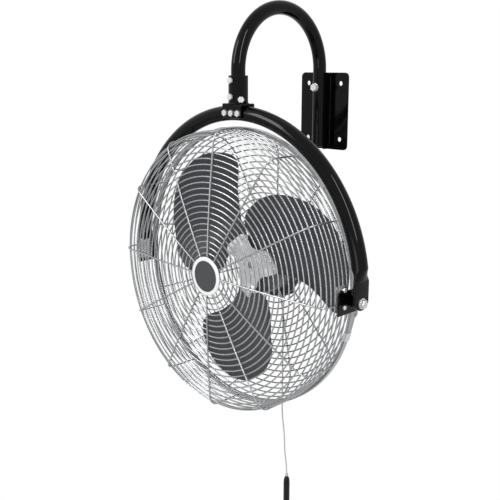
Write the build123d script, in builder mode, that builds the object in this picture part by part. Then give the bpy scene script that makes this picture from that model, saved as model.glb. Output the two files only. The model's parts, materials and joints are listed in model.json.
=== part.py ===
from build123d import *
from math import asin, atan2, cos, degrees, pi, radians, sin, sqrt, tan
import os

# A wall mounted fan: a bracket plate, a bent arm, a half-ring yoke and a caged fan head.
# Millimetres, +Z up. The origin is the centre of the plate's back face, on the wall,
# and the fan stands out from the wall towards -Y.

os.makedirs("parts", exist_ok=True)

# ---------------------------------------------------------------- wall bracket
plate_width = 117.0
plate_height = 148.0
plate_thickness = 2.5
plate_corner_radius = 9.0
mount_hole_spacing_x = 80.0
mount_hole_spacing_z = 107.0
mount_hole_radius = 4.5
channel_wall = 2.5
channel_depth = 16.5
channel_height = 146.0
channel_side_gap = 0.15

# ---------------------------------------------------------------- bent arm
arm_radius = 12.7
arm_wall = 2.0
arm_reach = 240.0           # wall to the swivel axis
arm_bend_height = 78.0      # where the legs run into the arch
arm_foot_height = -66.0
arm_bolt_height = 46.0
arm_bolt_radius = 4.0
groove_width = 7.2
groove_depth = 1.0
plug_flange = 2.0
plug_depth = 10.0

# ---------------------------------------------------------------- swivel
yoke_top_height = 6.0       # centre of the yoke tube where the swivel stands on it
sleeve_wall = 4.6
sleeve_height = 48.0
swivel_clearance = 0.08
face_gap = 0.3
washer_thickness = 1.5
saddle_wall = 3.0
saddle_length = 46.0
saddle_skirt = 9.0          # how far the saddle's sides reach below the tube's centre
saddle_bolt_spacing = 16.0
gusset_thickness = 4.0
gusset_height = 10.0
gusset_length = 5.0
clamp_screw_heights = (62.0, 34.0)   # the upper one runs in the arm's groove
lock_screw_height = 29.5
lock_screw_angle = 58.0     # from straight ahead, towards +X
screw_radius = 3.0
screw_hole_gap = 0.1
cut_margin = 1.0            # how far a cut runs past the face that it opens
boss_radius = 6.0
lock_boss_radius = 4.2
boss_height = 1.6

# ---------------------------------------------------------------- yoke
yoke_margin = 19.5          # guard to the middle of the yoke's tube
yoke_tube_radius = 13.5
yoke_wall = 2.0
pivot_drop = 13.0           # pivot below the centre of the yoke's arc
paddle_width = 39.0
paddle_thickness = 5.0
paddle_tip = 12.0           # pivot to the end of the flattened leg
arc_end_angle = 9.0         # the round tube ends this far above the arc's centre
flatten_length = 22.0
pivot_bolt_radius = 4.0
pivot_clearance = 0.06

# ---------------------------------------------------------------- guard
guard_radius = 257.5
guard_rise = 8.0            # fan axis above the pivot axis
weld_gap = 0.05
ring_wire_radius = 1.3
rib_wire_radius = 1.5
ring_pitch = 10.4
front_rib_count = 12
front_rib_phase = 28.0
front_apex = 80.0           # front of the domed face, ahead of the pivots
front_dome_radius = 2400.0
front_shoulder = 20.0
rim_wire_radius = 2.0
rim_depth = 7.0             # front basket's rim behind the pivots
rim_gap = 0.3
strip_wall = 1.0            # channel that holds the two rims together
strip_lip = 5.0
rear_rib_count = 12
rear_rib_phase = 20.0
rear_ring_pitch = 12.0
rear_corner_inset = 14.5    # guard's radius to where a rear rib's straight runs would meet
rear_corner_depth = 60.0
rear_bend = 60.0
rear_depth = 92.0           # front face of the motor plate behind the pivots
rib_overlap = 9.0           # how far a rib runs onto the plate that carries it
clip_count = 6
clip_phase = 43.0
clip_length = 16.0
clip_wall = 1.2
badge_radius = 35.0
badge_rim = 6.8
badge_thickness = 2.6
badge_recess = 0.8
backing_thickness = 1.5
first_ring_gap = 6.0

# ---------------------------------------------------------------- side brackets
bracket_thickness = 2.5
bracket_height = 40.0
bracket_front = 33.0
bracket_back = 14.3
bracket_boss_radius = 9.0
bracket_screw_angle = 3.2   # above and below the fan's axis
bracket_screw_radius = 2.0
clamp_plate_height = 38.0
clamp_plate_width = 22.0
pivot_washer = 1.6
pivot_washer_lip = 1.0      # how far the spacer stands out past the boss
pivot_face_gap = 0.15
bolt_head_height = 5.3
bolt_head_flats = 13.0
small_head_height = 4.0
small_head_flats = 10.0
tiny_head_height = 2.8
tiny_head_flats = 7.0

# ---------------------------------------------------------------- rotor
blade_count = 3
blade_phase = 15.0
blade_thickness = 1.6
blade_tab_length = 85.0     # flat root of a blade, out from the fan's axis
blade_outline = [           # radius and angle from the blade's middle, anticlockwise first
    (62, 60), (98, 66), (132, 56), (163, 47), (190, 35), (213, 24), (230, 12),
    (236, 1), (236, -7), (229, -16), (218, -24), (203, -30), (172, -29), (145, -25), (118, -22),
    (80, -20), (50, -22), (46, 0), (52, 32),
]
blade_sections = [          # distance out, depth behind the pivots, slope and camber
    (140, 27, 0.22, 6), (190, 22, 0.13, 5), (238, 17, 0.09, 5),
]
blade_root_slope = 0.36
blade_half_width = 190.0
hub_depth = 30.0            # front of the spider behind the pivots
spider_thickness = 2.5
spider_radius = 34.0
spider_arm_width = 50.0
spider_arm_length = 60.0
spider_arm_corner = 12.0
spider_flat_length = 36.0
spider_twist_length = 46.0
shaft_radius = 6.0
shaft_nose = 4.0
hub_flange_radius = 24.0
hub_boss_radius = 13.0
hub_flange = 3.0
hub_length = 15.0
set_screw_stand = 1.0       # how far the set screw stands out of the hub
hub_rivet_circle_radius = 18.5
hub_rivet_count = 4
rivet_radius = 2.4
rivet_head_radius = 4.4
rivet_head = 1.4
blade_rivet_places = [(52, -15), (52, 0), (52, 15)]    # on the blade's flat root

# ---------------------------------------------------------------- motor
motor_radius = 58.0
motor_wall = 3.0
motor_front = 50.0          # front of the motor behind the pivots
motor_length = 106.0
bell_depth = 30.0
bell_corner = 7.0
bearing_radius = 16.0
bearing_width = 10.0
bearing_wall = 3.5
shaft_clearance = 0.05
shaft_hole_gap = 2.0
motor_flange_radius = 70.0
motor_flange_thickness = 3.0
motor_plate_radius = 72.0
motor_plate_thickness = 2.5
motor_plate_gap = 0.3
motor_screw_circle_radius = 63.7
motor_screw_count = 6
core_radius = 33.5
air_gap = 0.5
core_length = 40.0
winding_height = 9.0
winding_wall = 14.0
vent_count = 12
vent_circle_radius = 38.0
vent_length = 18.0
vent_width = 5.0

# ---------------------------------------------------------------- pull switch
switch_depth = 124.0        # cord behind the pivots
switch_width = 36.0
switch_length = 30.0
switch_drop = 16.0          # below the motor
switch_corner = 4.0
switch_wall = 2.0
nipple_radius = 5.0
nipple_length = 8.0
plunger_radius = 2.0
plunger_clearance = 0.08
plunger_length = 4.0
plunger_head_radius = 3.5
pull_travel = 6.0
cord_radius = 1.4
cord_route = [              # away from the wall and height
    (116.6, -610.0), (108.6, -656.0), (107.2, -700.0), (100.4, -732.0), (100.0, -750.0),
]
bead_radius = 3.0
bead_length = 6.0
knob_radius = 6.6
knob_length = 60.0
knob_nose = 18.0
knob_top_radius = 2.6

# ---------------------------------------------------------------- places worked out from the sizes
arm_depth = plate_thickness + channel_wall + arm_radius          # wall to the rear leg's centre
arch_radius = (arm_reach - arm_depth) / 2
arch_centre = (arm_reach + arm_depth) / 2
yoke_radius = guard_radius + yoke_margin
yoke_centre_height = yoke_top_height - yoke_radius
pivot_height = yoke_centre_height - pivot_drop
fan_height = pivot_height + guard_rise
saddle_top = yoke_top_height + yoke_tube_radius + saddle_wall
sleeve_radius = arm_radius + sleeve_wall
sleeve_top = saddle_top + sleeve_height
arm_end_height = saddle_top + washer_thickness + face_gap
saddle_half_width = yoke_tube_radius + face_gap + saddle_wall

fan_centre = (0, -arm_reach, fan_height)
fan_axis = Axis(fan_centre, (0, -1, 0))
# the head's own frame: X to the right, Y up, Z out of the front
fan_plane = Plane(origin=fan_centre, x_dir=(1, 0, 0), z_dir=(0, -1, 0))
# a section through the fan's axis: X is the radius, Y is the height towards the front
section_plane = Plane(origin=fan_centre, x_dir=(1, 0, 0), z_dir=(0, 0, -1))
swivel_axis_point = (0, -arm_reach)


def save(piece, name):
    """Label a finished piece and write it to its own file."""
    piece.part.label = name
    export_step(piece.part, f"parts/{name}.step")


def hex_bolt(length, radius, flats, head):
    """A hex bolt on the Z axis: its head's seat at zero, its head above, its shank below."""
    with BuildPart() as bolt:
        with BuildSketch():
            RegularPolygon(flats / 2, 6, major_radius=False)
        extrude(amount=head)
        chamfer(bolt.faces().sort_by(Axis.Z)[-1].edges(), head / 8)
        with BuildSketch():
            Circle(radius)
        extrude(amount=-length)
        chamfer(bolt.faces().sort_by(Axis.Z)[0].edges(), radius / 5)
    return bolt.part


def hex_nut(height, radius, flats):
    """A hex nut on the Z axis, standing on zero."""
    with BuildPart() as nut:
        with BuildSketch():
            RegularPolygon(flats / 2, 6, major_radius=False)
            Circle(radius, mode=Mode.SUBTRACT)
        extrude(amount=height)
    return nut.part


def washer(outer, inner, height):
    """A flat washer on the Z axis, standing on zero."""
    with BuildPart() as ring:
        with BuildSketch():
            Circle(outer)
            Circle(inner, mode=Mode.SUBTRACT)
        extrude(amount=height)
    return ring.part


# ================================================================ wall bracket
with BuildPart() as wall_plate:
    with BuildSketch(Plane.XZ):
        RectangleRounded(plate_width, plate_height, plate_corner_radius)
        with GridLocations(mount_hole_spacing_x, mount_hole_spacing_z, 2, 2):
            Circle(mount_hole_radius, mode=Mode.SUBTRACT)
        with Locations((0, arm_bolt_height)):
            Circle(arm_bolt_radius, mode=Mode.SUBTRACT)
    extrude(amount=plate_thickness)
    fillet(wall_plate.faces().sort_by(Axis.Y)[0].outer_wire().edges(), plate_thickness / 4)
save(wall_plate, "wall_plate")

channel_inner = arm_radius + channel_side_gap
channel_middle = -(plate_thickness + channel_depth / 2)
with BuildPart() as arm_channel:
    with BuildSketch(Plane.XY.offset(-channel_height / 2)) as channel_section:
        with Locations((0, channel_middle)):
            Rectangle(2 * (channel_inner + channel_wall), channel_depth)
        with Locations((0, channel_middle - channel_wall)):
            Rectangle(2 * channel_inner, channel_depth, mode=Mode.SUBTRACT)
        fillet(channel_section.vertices().group_by(Axis.Y)[-1], channel_wall * 0.9)
    extrude(amount=channel_height)
    with BuildSketch(Plane.XZ):
        with Locations((0, arm_bolt_height)):
            Circle(arm_bolt_radius + screw_hole_gap)
    extrude(amount=arm_depth, mode=Mode.SUBTRACT)
save(arm_channel, "arm_channel")

# ================================================================ arm
with BuildPart() as arm_tube:
    with BuildLine(Plane.YZ):
        Line((-arm_depth, arm_foot_height), (-arm_depth, arm_bend_height))
        CenterArc((-arch_centre, arm_bend_height), arch_radius, 0, 180)
        Line((-arm_reach, arm_bend_height), (-arm_reach, arm_end_height))
    with BuildSketch(Plane.XY.offset(arm_foot_height)):
        with Locations((0, -arm_depth)):
            Circle(arm_radius)
            Circle(arm_radius - arm_wall, mode=Mode.SUBTRACT)
    sweep()
    with BuildSketch(Plane.XZ):
        with Locations((0, arm_bolt_height)):
            Circle(arm_bolt_radius + screw_hole_gap)
    extrude(amount=arm_depth + 2 * arm_radius, mode=Mode.SUBTRACT)
    with BuildSketch(Plane.XY.offset(clamp_screw_heights[0] - groove_width / 2)):
        with Locations(swivel_axis_point):
            Circle(arm_radius + arm_wall)
            Circle(arm_radius - groove_depth, mode=Mode.SUBTRACT)
    extrude(amount=groove_width, mode=Mode.SUBTRACT)
save(arm_tube, "arm_tube")


def tube_plug(end_height, depth_from_wall):
    """A moulded plug that closes a downward end of the arm tube."""
    with BuildPart() as plug:
        with Locations((0, -depth_from_wall, end_height)):
            Cylinder(arm_radius - arm_wall, plug_depth, align=(Align.CENTER, Align.CENTER, Align.MIN))
            Cylinder(
                arm_radius - 3 * arm_wall,
                plug_depth,
                align=(Align.CENTER, Align.CENTER, Align.MIN),
                mode=Mode.SUBTRACT,
            )
            Cylinder(arm_radius - arm_wall, arm_wall, align=(Align.CENTER, Align.CENTER, Align.MIN))
    return plug


with BuildPart() as arm_foot_plug:
    add(tube_plug(arm_foot_height, arm_depth).part)
    with Locations((0, -arm_depth, arm_foot_height)):
        Cylinder(arm_radius, plug_flange, align=(Align.CENTER, Align.CENTER, Align.MAX))
    fillet(arm_foot_plug.faces().sort_by(Axis.Z)[0].edges(), plug_flange / 2)
save(arm_foot_plug, "arm_foot_plug")
save(tube_plug(arm_end_height, arm_reach), "arm_end_plug")

arm_bolt_seat = arm_depth + arm_radius
with BuildPart() as arm_bolt_washer:
    with Locations(Location(Plane.XZ.offset(arm_bolt_seat).shift_origin((0, -arm_bolt_seat, arm_bolt_height)))):
        add(washer(2 * arm_bolt_radius, arm_bolt_radius + screw_hole_gap, pivot_washer))
save(arm_bolt_washer, "arm_bolt_washer")

arm_bolt_length = arm_bolt_seat + pivot_washer - face_gap
arm_bolt_plane = Plane(origin=(0, -arm_bolt_seat - pivot_washer, arm_bolt_height), z_dir=(0, -1, 0))
with BuildPart() as arm_bolt:
    with Locations(arm_bolt_plane):
        add(hex_bolt(arm_bolt_length, arm_bolt_radius, bolt_head_flats, bolt_head_height))
save(arm_bolt, "arm_bolt")

# ================================================================ swivel
saddle_bolt_places = [(place * saddle_bolt_spacing, yoke_top_height) for place in (-1, 0, 1)]
with BuildPart() as yoke_saddle:
    with BuildSketch(Plane.YZ.offset(-saddle_length / 2)) as saddle_section:
        with Locations((-arm_reach, saddle_top)):
            Rectangle(
                2 * saddle_half_width,
                saddle_top - yoke_top_height + saddle_skirt,
                align=(Align.CENTER, Align.MAX),
            )
        fillet(saddle_section.vertices().group_by(Axis.Z)[-1], saddle_wall)
        with Locations((-arm_reach, saddle_top - saddle_wall)):
            Rectangle(
                2 * (saddle_half_width - saddle_wall),
                saddle_top + saddle_skirt,
                align=(Align.CENTER, Align.MAX),
                mode=Mode.SUBTRACT,
            )
    extrude(amount=saddle_length)
    with BuildSketch(Plane.XZ.offset(arm_reach - saddle_half_width - cut_margin)):
        with Locations(*saddle_bolt_places):
            Circle(screw_radius + screw_hole_gap)
    extrude(amount=2 * (saddle_half_width + cut_margin), mode=Mode.SUBTRACT)
save(yoke_saddle, "yoke_saddle")


def swivel_screw_plane(height, angle):
    """A plane square to a screw's axis, centred on the swivel axis, facing out at an angle."""
    turn = radians(angle)
    return Plane(origin=(0, -arm_reach, height), z_dir=(sin(turn), -cos(turn), 0))


screw_planes = [swivel_screw_plane(height, 0) for height in clamp_screw_heights]
screw_planes.append(swivel_screw_plane(lock_screw_height, lock_screw_angle))

with BuildPart() as swivel_sleeve:
    with BuildSketch(Plane.XY.offset(saddle_top)):
        with Locations(swivel_axis_point):
            Circle(sleeve_radius)
    extrude(amount=sleeve_height)
    for plane in screw_planes:
        with BuildSketch(plane):
            Circle(lock_boss_radius if plane is screw_planes[-1] else boss_radius)
        extrude(amount=sleeve_radius + boss_height)
    with BuildSketch(Plane.XZ.offset(arm_reach - gusset_thickness / 2)):
        for side in (-1, 1):
            with BuildLine():
                Polyline(
                    (side * (sleeve_radius - sleeve_wall / 2), saddle_top),
                    (side * (sleeve_radius + gusset_length), saddle_top),
                    (side * (sleeve_radius - sleeve_wall / 2), saddle_top + gusset_height),
                    close=True,
                )
            make_face()
    extrude(amount=gusset_thickness)
    with BuildSketch(Plane.XY.offset(saddle_top)):
        with Locations(swivel_axis_point):
            Circle(arm_radius + swivel_clearance)
    extrude(amount=sleeve_height, mode=Mode.SUBTRACT)
    for plane in screw_planes:
        with BuildSketch(plane):
            Circle(screw_radius + screw_hole_gap)
        extrude(amount=sleeve_radius + boss_height + cut_margin, mode=Mode.SUBTRACT)
    chamfer(swivel_sleeve.faces().sort_by(Axis.Z)[-1].outer_wire().edges(), 1.0)
save(swivel_sleeve, "swivel_sleeve")

screw_seat = sleeve_radius + boss_height
with BuildPart() as clamp_screws:
    for plane in screw_planes:
        # the upper screw's tip runs in the arm's groove, and the others stop short of the arm
        tip = arm_radius + face_gap
        if plane is screw_planes[0]:
            tip = arm_radius - groove_depth + face_gap
        with Locations(plane.offset(screw_seat)):
            add(hex_bolt(screw_seat - tip, screw_radius, small_head_flats, small_head_height))
save(clamp_screws, "clamp_screws")

with BuildPart() as thrust_washer:
    with Locations((0, -arm_reach, saddle_top)):
        add(washer(arm_radius, arm_radius / 2, washer_thickness))
save(thrust_washer, "thrust_washer")

with BuildPart() as saddle_bolts:
    for place, _ in saddle_bolt_places:
        seat = Plane(origin=(place, -arm_reach - saddle_half_width, yoke_top_height), z_dir=(0, -1, 0))
        with Locations(seat):
            add(
                hex_bolt(
                    2 * saddle_half_width + small_head_height + 2,
                    screw_radius,
                    small_head_flats,
                    small_head_height,
                )
            )
save(saddle_bolts, "saddle_bolts")

with BuildPart() as saddle_nuts:
    for place, _ in saddle_bolt_places:
        seat = Plane(origin=(place, -arm_reach + saddle_half_width, yoke_top_height), z_dir=(0, 1, 0))
        with Locations(seat):
            add(hex_nut(small_head_height, screw_radius + screw_hole_gap, small_head_flats))
save(saddle_nuts, "saddle_nuts")

# ================================================================ yoke
yoke_plane = Plane.XZ.offset(arm_reach)
arc_end = radians(arc_end_angle)
arc_end_point = (yoke_radius * cos(arc_end), yoke_centre_height + yoke_radius * sin(arc_end))
paddle_top = arc_end_point[1] - flatten_length
with BuildPart() as yoke_tube:
    with BuildLine(yoke_plane):
        CenterArc((0, yoke_centre_height), yoke_radius, arc_end_angle, 180 - 2 * arc_end_angle)
    tube_start = Plane(
        origin=(arc_end_point[0], -arm_reach, arc_end_point[1]),
        x_dir=(0, -1, 0),
        z_dir=(-sin(arc_end), 0, cos(arc_end)),
    )
    with BuildSketch(tube_start):
        Circle(yoke_tube_radius)
        Circle(yoke_tube_radius - yoke_wall, mode=Mode.SUBTRACT)
    sweep()
    with BuildSketch(tube_start):
        Circle(yoke_tube_radius)
    with BuildSketch(
        Plane(origin=(yoke_radius, -arm_reach, paddle_top), x_dir=(0, -1, 0), z_dir=(0, 0, 1))
    ):
        SlotOverall(paddle_width, paddle_thickness)
    loft()
    with BuildSketch(
        Plane(origin=(yoke_radius, -arm_reach, paddle_top), x_dir=(0, -1, 0), z_dir=(0, 0, -1))
    ):
        SlotOverall(paddle_width, paddle_thickness)
    extrude(amount=paddle_top - pivot_height + paddle_tip)
    mirror(
        yoke_tube.part.split(Plane.YZ.offset(yoke_radius / 2), keep=Keep.TOP),
        about=Plane.YZ,
    )
    with BuildSketch(Plane.YZ.offset(-2 * yoke_radius)):
        # the flattened end is rounded off
        with Locations((-arm_reach, pivot_height - paddle_tip + paddle_width / 2)):
            Rectangle(paddle_width + cut_margin, paddle_width, align=(Align.CENTER, Align.MAX))
            Circle(paddle_width / 2, mode=Mode.SUBTRACT)
        with Locations((-arm_reach, pivot_height)):
            Circle(pivot_bolt_radius + pivot_clearance)
    extrude(amount=4 * yoke_radius, mode=Mode.SUBTRACT)
    with BuildSketch(Plane.XZ.offset(arm_reach - 2 * yoke_tube_radius)):
        with Locations(*saddle_bolt_places):
            Circle(screw_radius + screw_hole_gap)
    extrude(amount=4 * yoke_tube_radius, mode=Mode.SUBTRACT)
save(yoke_tube, "yoke_tube")

# ================================================================ guard
def at_radius(radius, pitch_radius):
    """How far a dome of one radius has fallen away at a distance from its axis."""
    return pitch_radius - sqrt(pitch_radius**2 - radius**2)


def ring_places(path, start, pitch, reach, side):
    """Section places of rings spaced evenly along a rib, touching it on its right or left."""
    places = []
    for number in range(int((reach - start) / pitch) + 1):
        distance = start + number * pitch
        point = section_plane.to_local_coords(path.position_at(distance, position_mode=PositionMode.LENGTH))
        along = section_plane.to_local_coords(
            path.position_at(distance, position_mode=PositionMode.LENGTH)
            + path.tangent_at(distance, position_mode=PositionMode.LENGTH)
        ) - point
        inward = Vector(along.Y, -along.X) * side * (ring_wire_radius + rib_wire_radius + weld_gap)
        places.append((point.X + inward.X, point.Y + inward.Y))
    return places


def revolved_wires(places, wire):
    """Closed rings of wire round the fan's axis."""
    with BuildPart() as rings:
        with BuildSketch(section_plane):
            with Locations(*places):
                Circle(wire)
        revolve(axis=fan_axis)
    return rings


rib_radius = guard_radius - rib_wire_radius
side_strip_front = -rim_depth + rim_wire_radius + strip_wall
rear_rim_depth = rim_depth + 2 * rim_wire_radius + rim_gap
side_strip_back = -rear_rim_depth - rim_wire_radius - strip_wall
rim_radius = guard_radius - strip_wall - rim_wire_radius

# front basket: a flat dome that turns down into the side wall
rib_start = badge_radius - rib_overlap
with BuildLine(section_plane) as front_rib_path:
    rib_dome = CenterArc(
        (0, front_apex - front_dome_radius),
        front_dome_radius,
        90 - degrees(asin(rib_start / front_dome_radius)),
        -degrees(asin(rib_radius / front_dome_radius) - asin(rib_start / front_dome_radius)),
    )
    Line(rib_dome @ 1, (rib_radius, side_strip_front + weld_gap))
    fillet(front_rib_path.vertices().sort_by(Axis.X)[-2:].sort_by(Axis.Y)[0], front_shoulder)
front_rib_line = front_rib_path.wires()[0]
front_places = ring_places(
    front_rib_line,
    badge_radius + first_ring_gap - rib_start,
    ring_pitch,
    front_rib_line.length - ring_pitch / 2,
    1,
)
face_places = [place for place in front_places if place[0] < rib_radius - front_shoulder / 2]
side_places = [place for place in front_places if place[0] >= rib_radius - front_shoulder / 2]
save(revolved_wires(face_places, ring_wire_radius), "front_guard_rings")
save(revolved_wires(side_places, ring_wire_radius), "guard_side_rings")

with BuildPart() as front_rib:
    with BuildLine():
        add(front_rib_line)
    with BuildSketch(Plane(origin=front_rib_line @ 0, z_dir=front_rib_line % 0)):
        Circle(rib_wire_radius)
    sweep()

with BuildPart() as front_guard_ribs:
    for number in range(front_rib_count):
        add(front_rib.part.rotate(fan_axis, front_rib_phase + number * 360 / front_rib_count))
save(front_guard_ribs, "front_guard_ribs")

# rims of the two baskets and the channel that holds them together
save(revolved_wires([(rim_radius, -rim_depth)], rim_wire_radius), "front_rim")
save(revolved_wires([(rim_radius, -rear_rim_depth)], rim_wire_radius), "rear_rim")
with BuildPart() as rim_channel:
    with BuildSketch(section_plane):
        with Locations((guard_radius, (side_strip_front + side_strip_back) / 2)):
            Rectangle(
                strip_lip, side_strip_front - side_strip_back, align=(Align.MAX, Align.CENTER)
            )
        with Locations((guard_radius - strip_wall, (side_strip_front + side_strip_back) / 2)):
            Rectangle(
                strip_lip,
                side_strip_front - side_strip_back - 2 * strip_wall,
                align=(Align.MAX, Align.CENTER),
                mode=Mode.SUBTRACT,
            )
    revolve(axis=fan_axis)
save(rim_channel, "rim_channel")

with BuildPart() as guard_clips:
    with BuildSketch(section_plane):
        with Locations((guard_radius + clip_wall, (side_strip_front + side_strip_back) / 2)):
            Rectangle(
                strip_lip + clip_wall,
                side_strip_front - side_strip_back + 2 * clip_wall,
                align=(Align.MAX, Align.CENTER),
            )
        with Locations((guard_radius, (side_strip_front + side_strip_back) / 2)):
            Rectangle(
                strip_lip + clip_wall,
                side_strip_front - side_strip_back,
                align=(Align.MAX, Align.CENTER),
                mode=Mode.SUBTRACT,
            )
    revolve(axis=fan_axis)
    with BuildSketch(fan_plane.offset(side_strip_back - 2 * clip_wall)):
        with PolarLocations(guard_radius, clip_count, start_angle=clip_phase):
            Rectangle(3 * strip_lip, clip_length)
    extrude(amount=side_strip_front - side_strip_back + 4 * clip_wall, mode=Mode.INTERSECT)
save(guard_clips, "guard_clips")

# rear basket: a shallow cone from the motor plate, bent forward to the rim
rear_rib_start = motor_plate_radius - rib_overlap
with BuildLine(section_plane) as rear_rib_path:
    FilletPolyline(
        (rear_rib_start, -rear_depth + rib_wire_radius + weld_gap),
        (guard_radius - rear_corner_inset, -rear_corner_depth),
        (guard_radius - strip_lip / 2, side_strip_back + rib_wire_radius),
        radius=rear_bend,
    )
rear_rib_line = rear_rib_path.wires()[0]
rear_places = ring_places(
    rear_rib_line,
    rib_overlap + rear_ring_pitch,
    rear_ring_pitch,
    rear_rib_line.length - rear_ring_pitch / 2,
    -1,
)
save(revolved_wires(rear_places, ring_wire_radius), "rear_guard_rings")

with BuildPart() as rear_rib:
    with BuildLine():
        add(rear_rib_line)
    with BuildSketch(Plane(origin=rear_rib_line @ 0, z_dir=rear_rib_line % 0)):
        Circle(rib_wire_radius)
    sweep()

with BuildPart() as rear_guard_ribs:
    for number in range(rear_rib_count):
        add(rear_rib.part.rotate(fan_axis, rear_rib_phase + number * 360 / rear_rib_count))
    # the ribs end on the channel's back
    with BuildSketch(fan_plane.offset(side_strip_back - weld_gap)):
        Circle(guard_radius + 4 * rib_wire_radius)
    extrude(amount=rear_depth, mode=Mode.SUBTRACT)
save(rear_guard_ribs, "rear_guard_ribs")

# ================================================================ badge
badge_back = front_apex - at_radius(rib_start, front_dome_radius) + rib_wire_radius + weld_gap
with BuildPart() as badge_plate:
    with BuildSketch(fan_plane.offset(badge_back)):
        Circle(badge_radius - badge_rim)
    extrude(amount=badge_thickness - badge_recess)
save(badge_plate, "badge_plate")

with BuildPart() as badge_ring:
    with BuildSketch(fan_plane.offset(badge_back)):
        Circle(badge_radius)
        Circle(badge_radius - badge_rim, mode=Mode.SUBTRACT)
    extrude(amount=badge_thickness)
    fillet(badge_ring.faces().sort_by(Axis.Y)[0].outer_wire().edges(), badge_rim / 4)
save(badge_ring, "badge_ring")

backing_front = front_apex - at_radius(badge_radius, front_dome_radius) - rib_wire_radius - weld_gap
with BuildPart() as badge_backing:
    with BuildSketch(fan_plane.offset(backing_front)):
        Circle(badge_radius - badge_rim / 2)
    extrude(amount=-backing_thickness)
save(badge_backing, "badge_backing")

# ================================================================ side brackets and pivots
paddle_inner = yoke_radius - paddle_thickness / 2
paddle_outer = yoke_radius + paddle_thickness / 2
boss_end = paddle_inner - pivot_face_gap - pivot_washer
bracket_outer = guard_radius + bracket_thickness
screw_front = (side_places[-2][1] + side_places[-3][1]) / 2
clamp_outer = side_places[-1][0] - ring_wire_radius - weld_gap
clamp_inner = clamp_outer - bracket_thickness
bracket_screw_turns = [
    middle + turn for middle in (0, 180) for turn in (-bracket_screw_angle, bracket_screw_angle)
]


def radial_plane(angle, radius, front):
    """A plane square to a radius of the fan, at a distance out and ahead of the pivots."""
    turn = radians(angle)
    centre = fan_plane.from_local_coords((radius * cos(turn), radius * sin(turn), front))
    return Plane(origin=centre, x_dir=(0, -1, 0), z_dir=(cos(turn), 0, sin(turn)))


with BuildPart() as side_brackets:
    with BuildSketch(Plane.YZ):
        with Locations((-arm_reach, pivot_height)):
            Circle(bracket_boss_radius)
    extrude(amount=boss_end, both=True)
    with BuildSketch(fan_plane.offset(-bracket_back)):
        Circle(guard_radius + bracket_thickness / 2)
    extrude(amount=bracket_back + bracket_front, mode=Mode.SUBTRACT)
    with BuildSketch(fan_plane.offset(-bracket_back)):
        with Locations((0, -guard_rise)):
            RectangleRounded(3 * guard_radius, bracket_height, bracket_height / 8)
        Circle(bracket_outer, mode=Mode.INTERSECT)
        Circle(guard_radius + weld_gap, mode=Mode.SUBTRACT)
    extrude(amount=bracket_back + bracket_front)
    with BuildSketch(Plane.YZ):
        with Locations((-arm_reach, pivot_height)):
            Circle(pivot_bolt_radius)
    extrude(amount=boss_end, both=True, mode=Mode.SUBTRACT)
    for turn in bracket_screw_turns:
        with BuildSketch(radial_plane(turn, guard_radius - bracket_thickness, screw_front)):
            Circle(bracket_screw_radius + screw_hole_gap)
        extrude(amount=3 * bracket_thickness, mode=Mode.SUBTRACT)
save(side_brackets, "side_brackets")

with BuildPart() as clamp_plates:
    with BuildSketch(fan_plane.offset(screw_front - clamp_plate_width / 2)):
        Rectangle(3 * guard_radius, clamp_plate_height)
        Circle(clamp_outer, mode=Mode.INTERSECT)
        Circle(clamp_inner, mode=Mode.SUBTRACT)
    extrude(amount=clamp_plate_width)
    for turn in bracket_screw_turns:
        with BuildSketch(radial_plane(turn, clamp_inner - bracket_thickness, screw_front)):
            Circle(bracket_screw_radius + screw_hole_gap)
        extrude(amount=3 * bracket_thickness, mode=Mode.SUBTRACT)
save(clamp_plates, "clamp_plates")

with BuildPart() as bracket_screws:
    for turn in bracket_screw_turns:
        with Locations(radial_plane(turn, bracket_outer + weld_gap, screw_front)):
            add(
                hex_bolt(
                    bracket_outer - clamp_inner + 2 * tiny_head_height,
                    bracket_screw_radius,
                    tiny_head_flats,
                    tiny_head_height,
                )
            )
save(bracket_screws, "bracket_screws")

with BuildPart() as bracket_nuts:
    for turn in bracket_screw_turns:
        with Locations(radial_plane(turn, clamp_inner - weld_gap - tiny_head_height, screw_front)):
            add(hex_nut(tiny_head_height, bracket_screw_radius + screw_hole_gap, tiny_head_flats))
save(bracket_nuts, "bracket_nuts")


def pivot_plane(side, distance):
    """A plane on the tilt axis, facing outwards, at a distance to the right or left."""
    return Plane(
        origin=(side * distance, -arm_reach, pivot_height), x_dir=(0, -side, 0), z_dir=(side, 0, 0)
    )


with BuildPart() as pivot_spacers:
    for side in (-1, 1):
        with Locations(pivot_plane(side, boss_end)):
            add(washer(bracket_boss_radius + pivot_washer_lip, pivot_bolt_radius, pivot_washer))
save(pivot_spacers, "pivot_spacers")

with BuildPart() as pivot_washers:
    for side in (-1, 1):
        with Locations(pivot_plane(side, paddle_outer + pivot_face_gap)):
            add(washer(bracket_boss_radius, pivot_bolt_radius, pivot_washer))
save(pivot_washers, "pivot_washers")

pivot_seat = paddle_outer + pivot_face_gap + pivot_washer
with BuildPart() as pivot_bolts:
    for side in (-1, 1):
        with Locations(pivot_plane(side, pivot_seat)):
            add(
                hex_bolt(
                    pivot_seat - bracket_outer,
                    pivot_bolt_radius,
                    bolt_head_flats,
                    bolt_head_height,
                )
            )
save(pivot_bolts, "pivot_bolts")

# ================================================================ motor
motor_back = motor_front + motor_length
flange_front = rear_depth + motor_plate_thickness
core_front = motor_front + (motor_length - core_length) / 2


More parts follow.
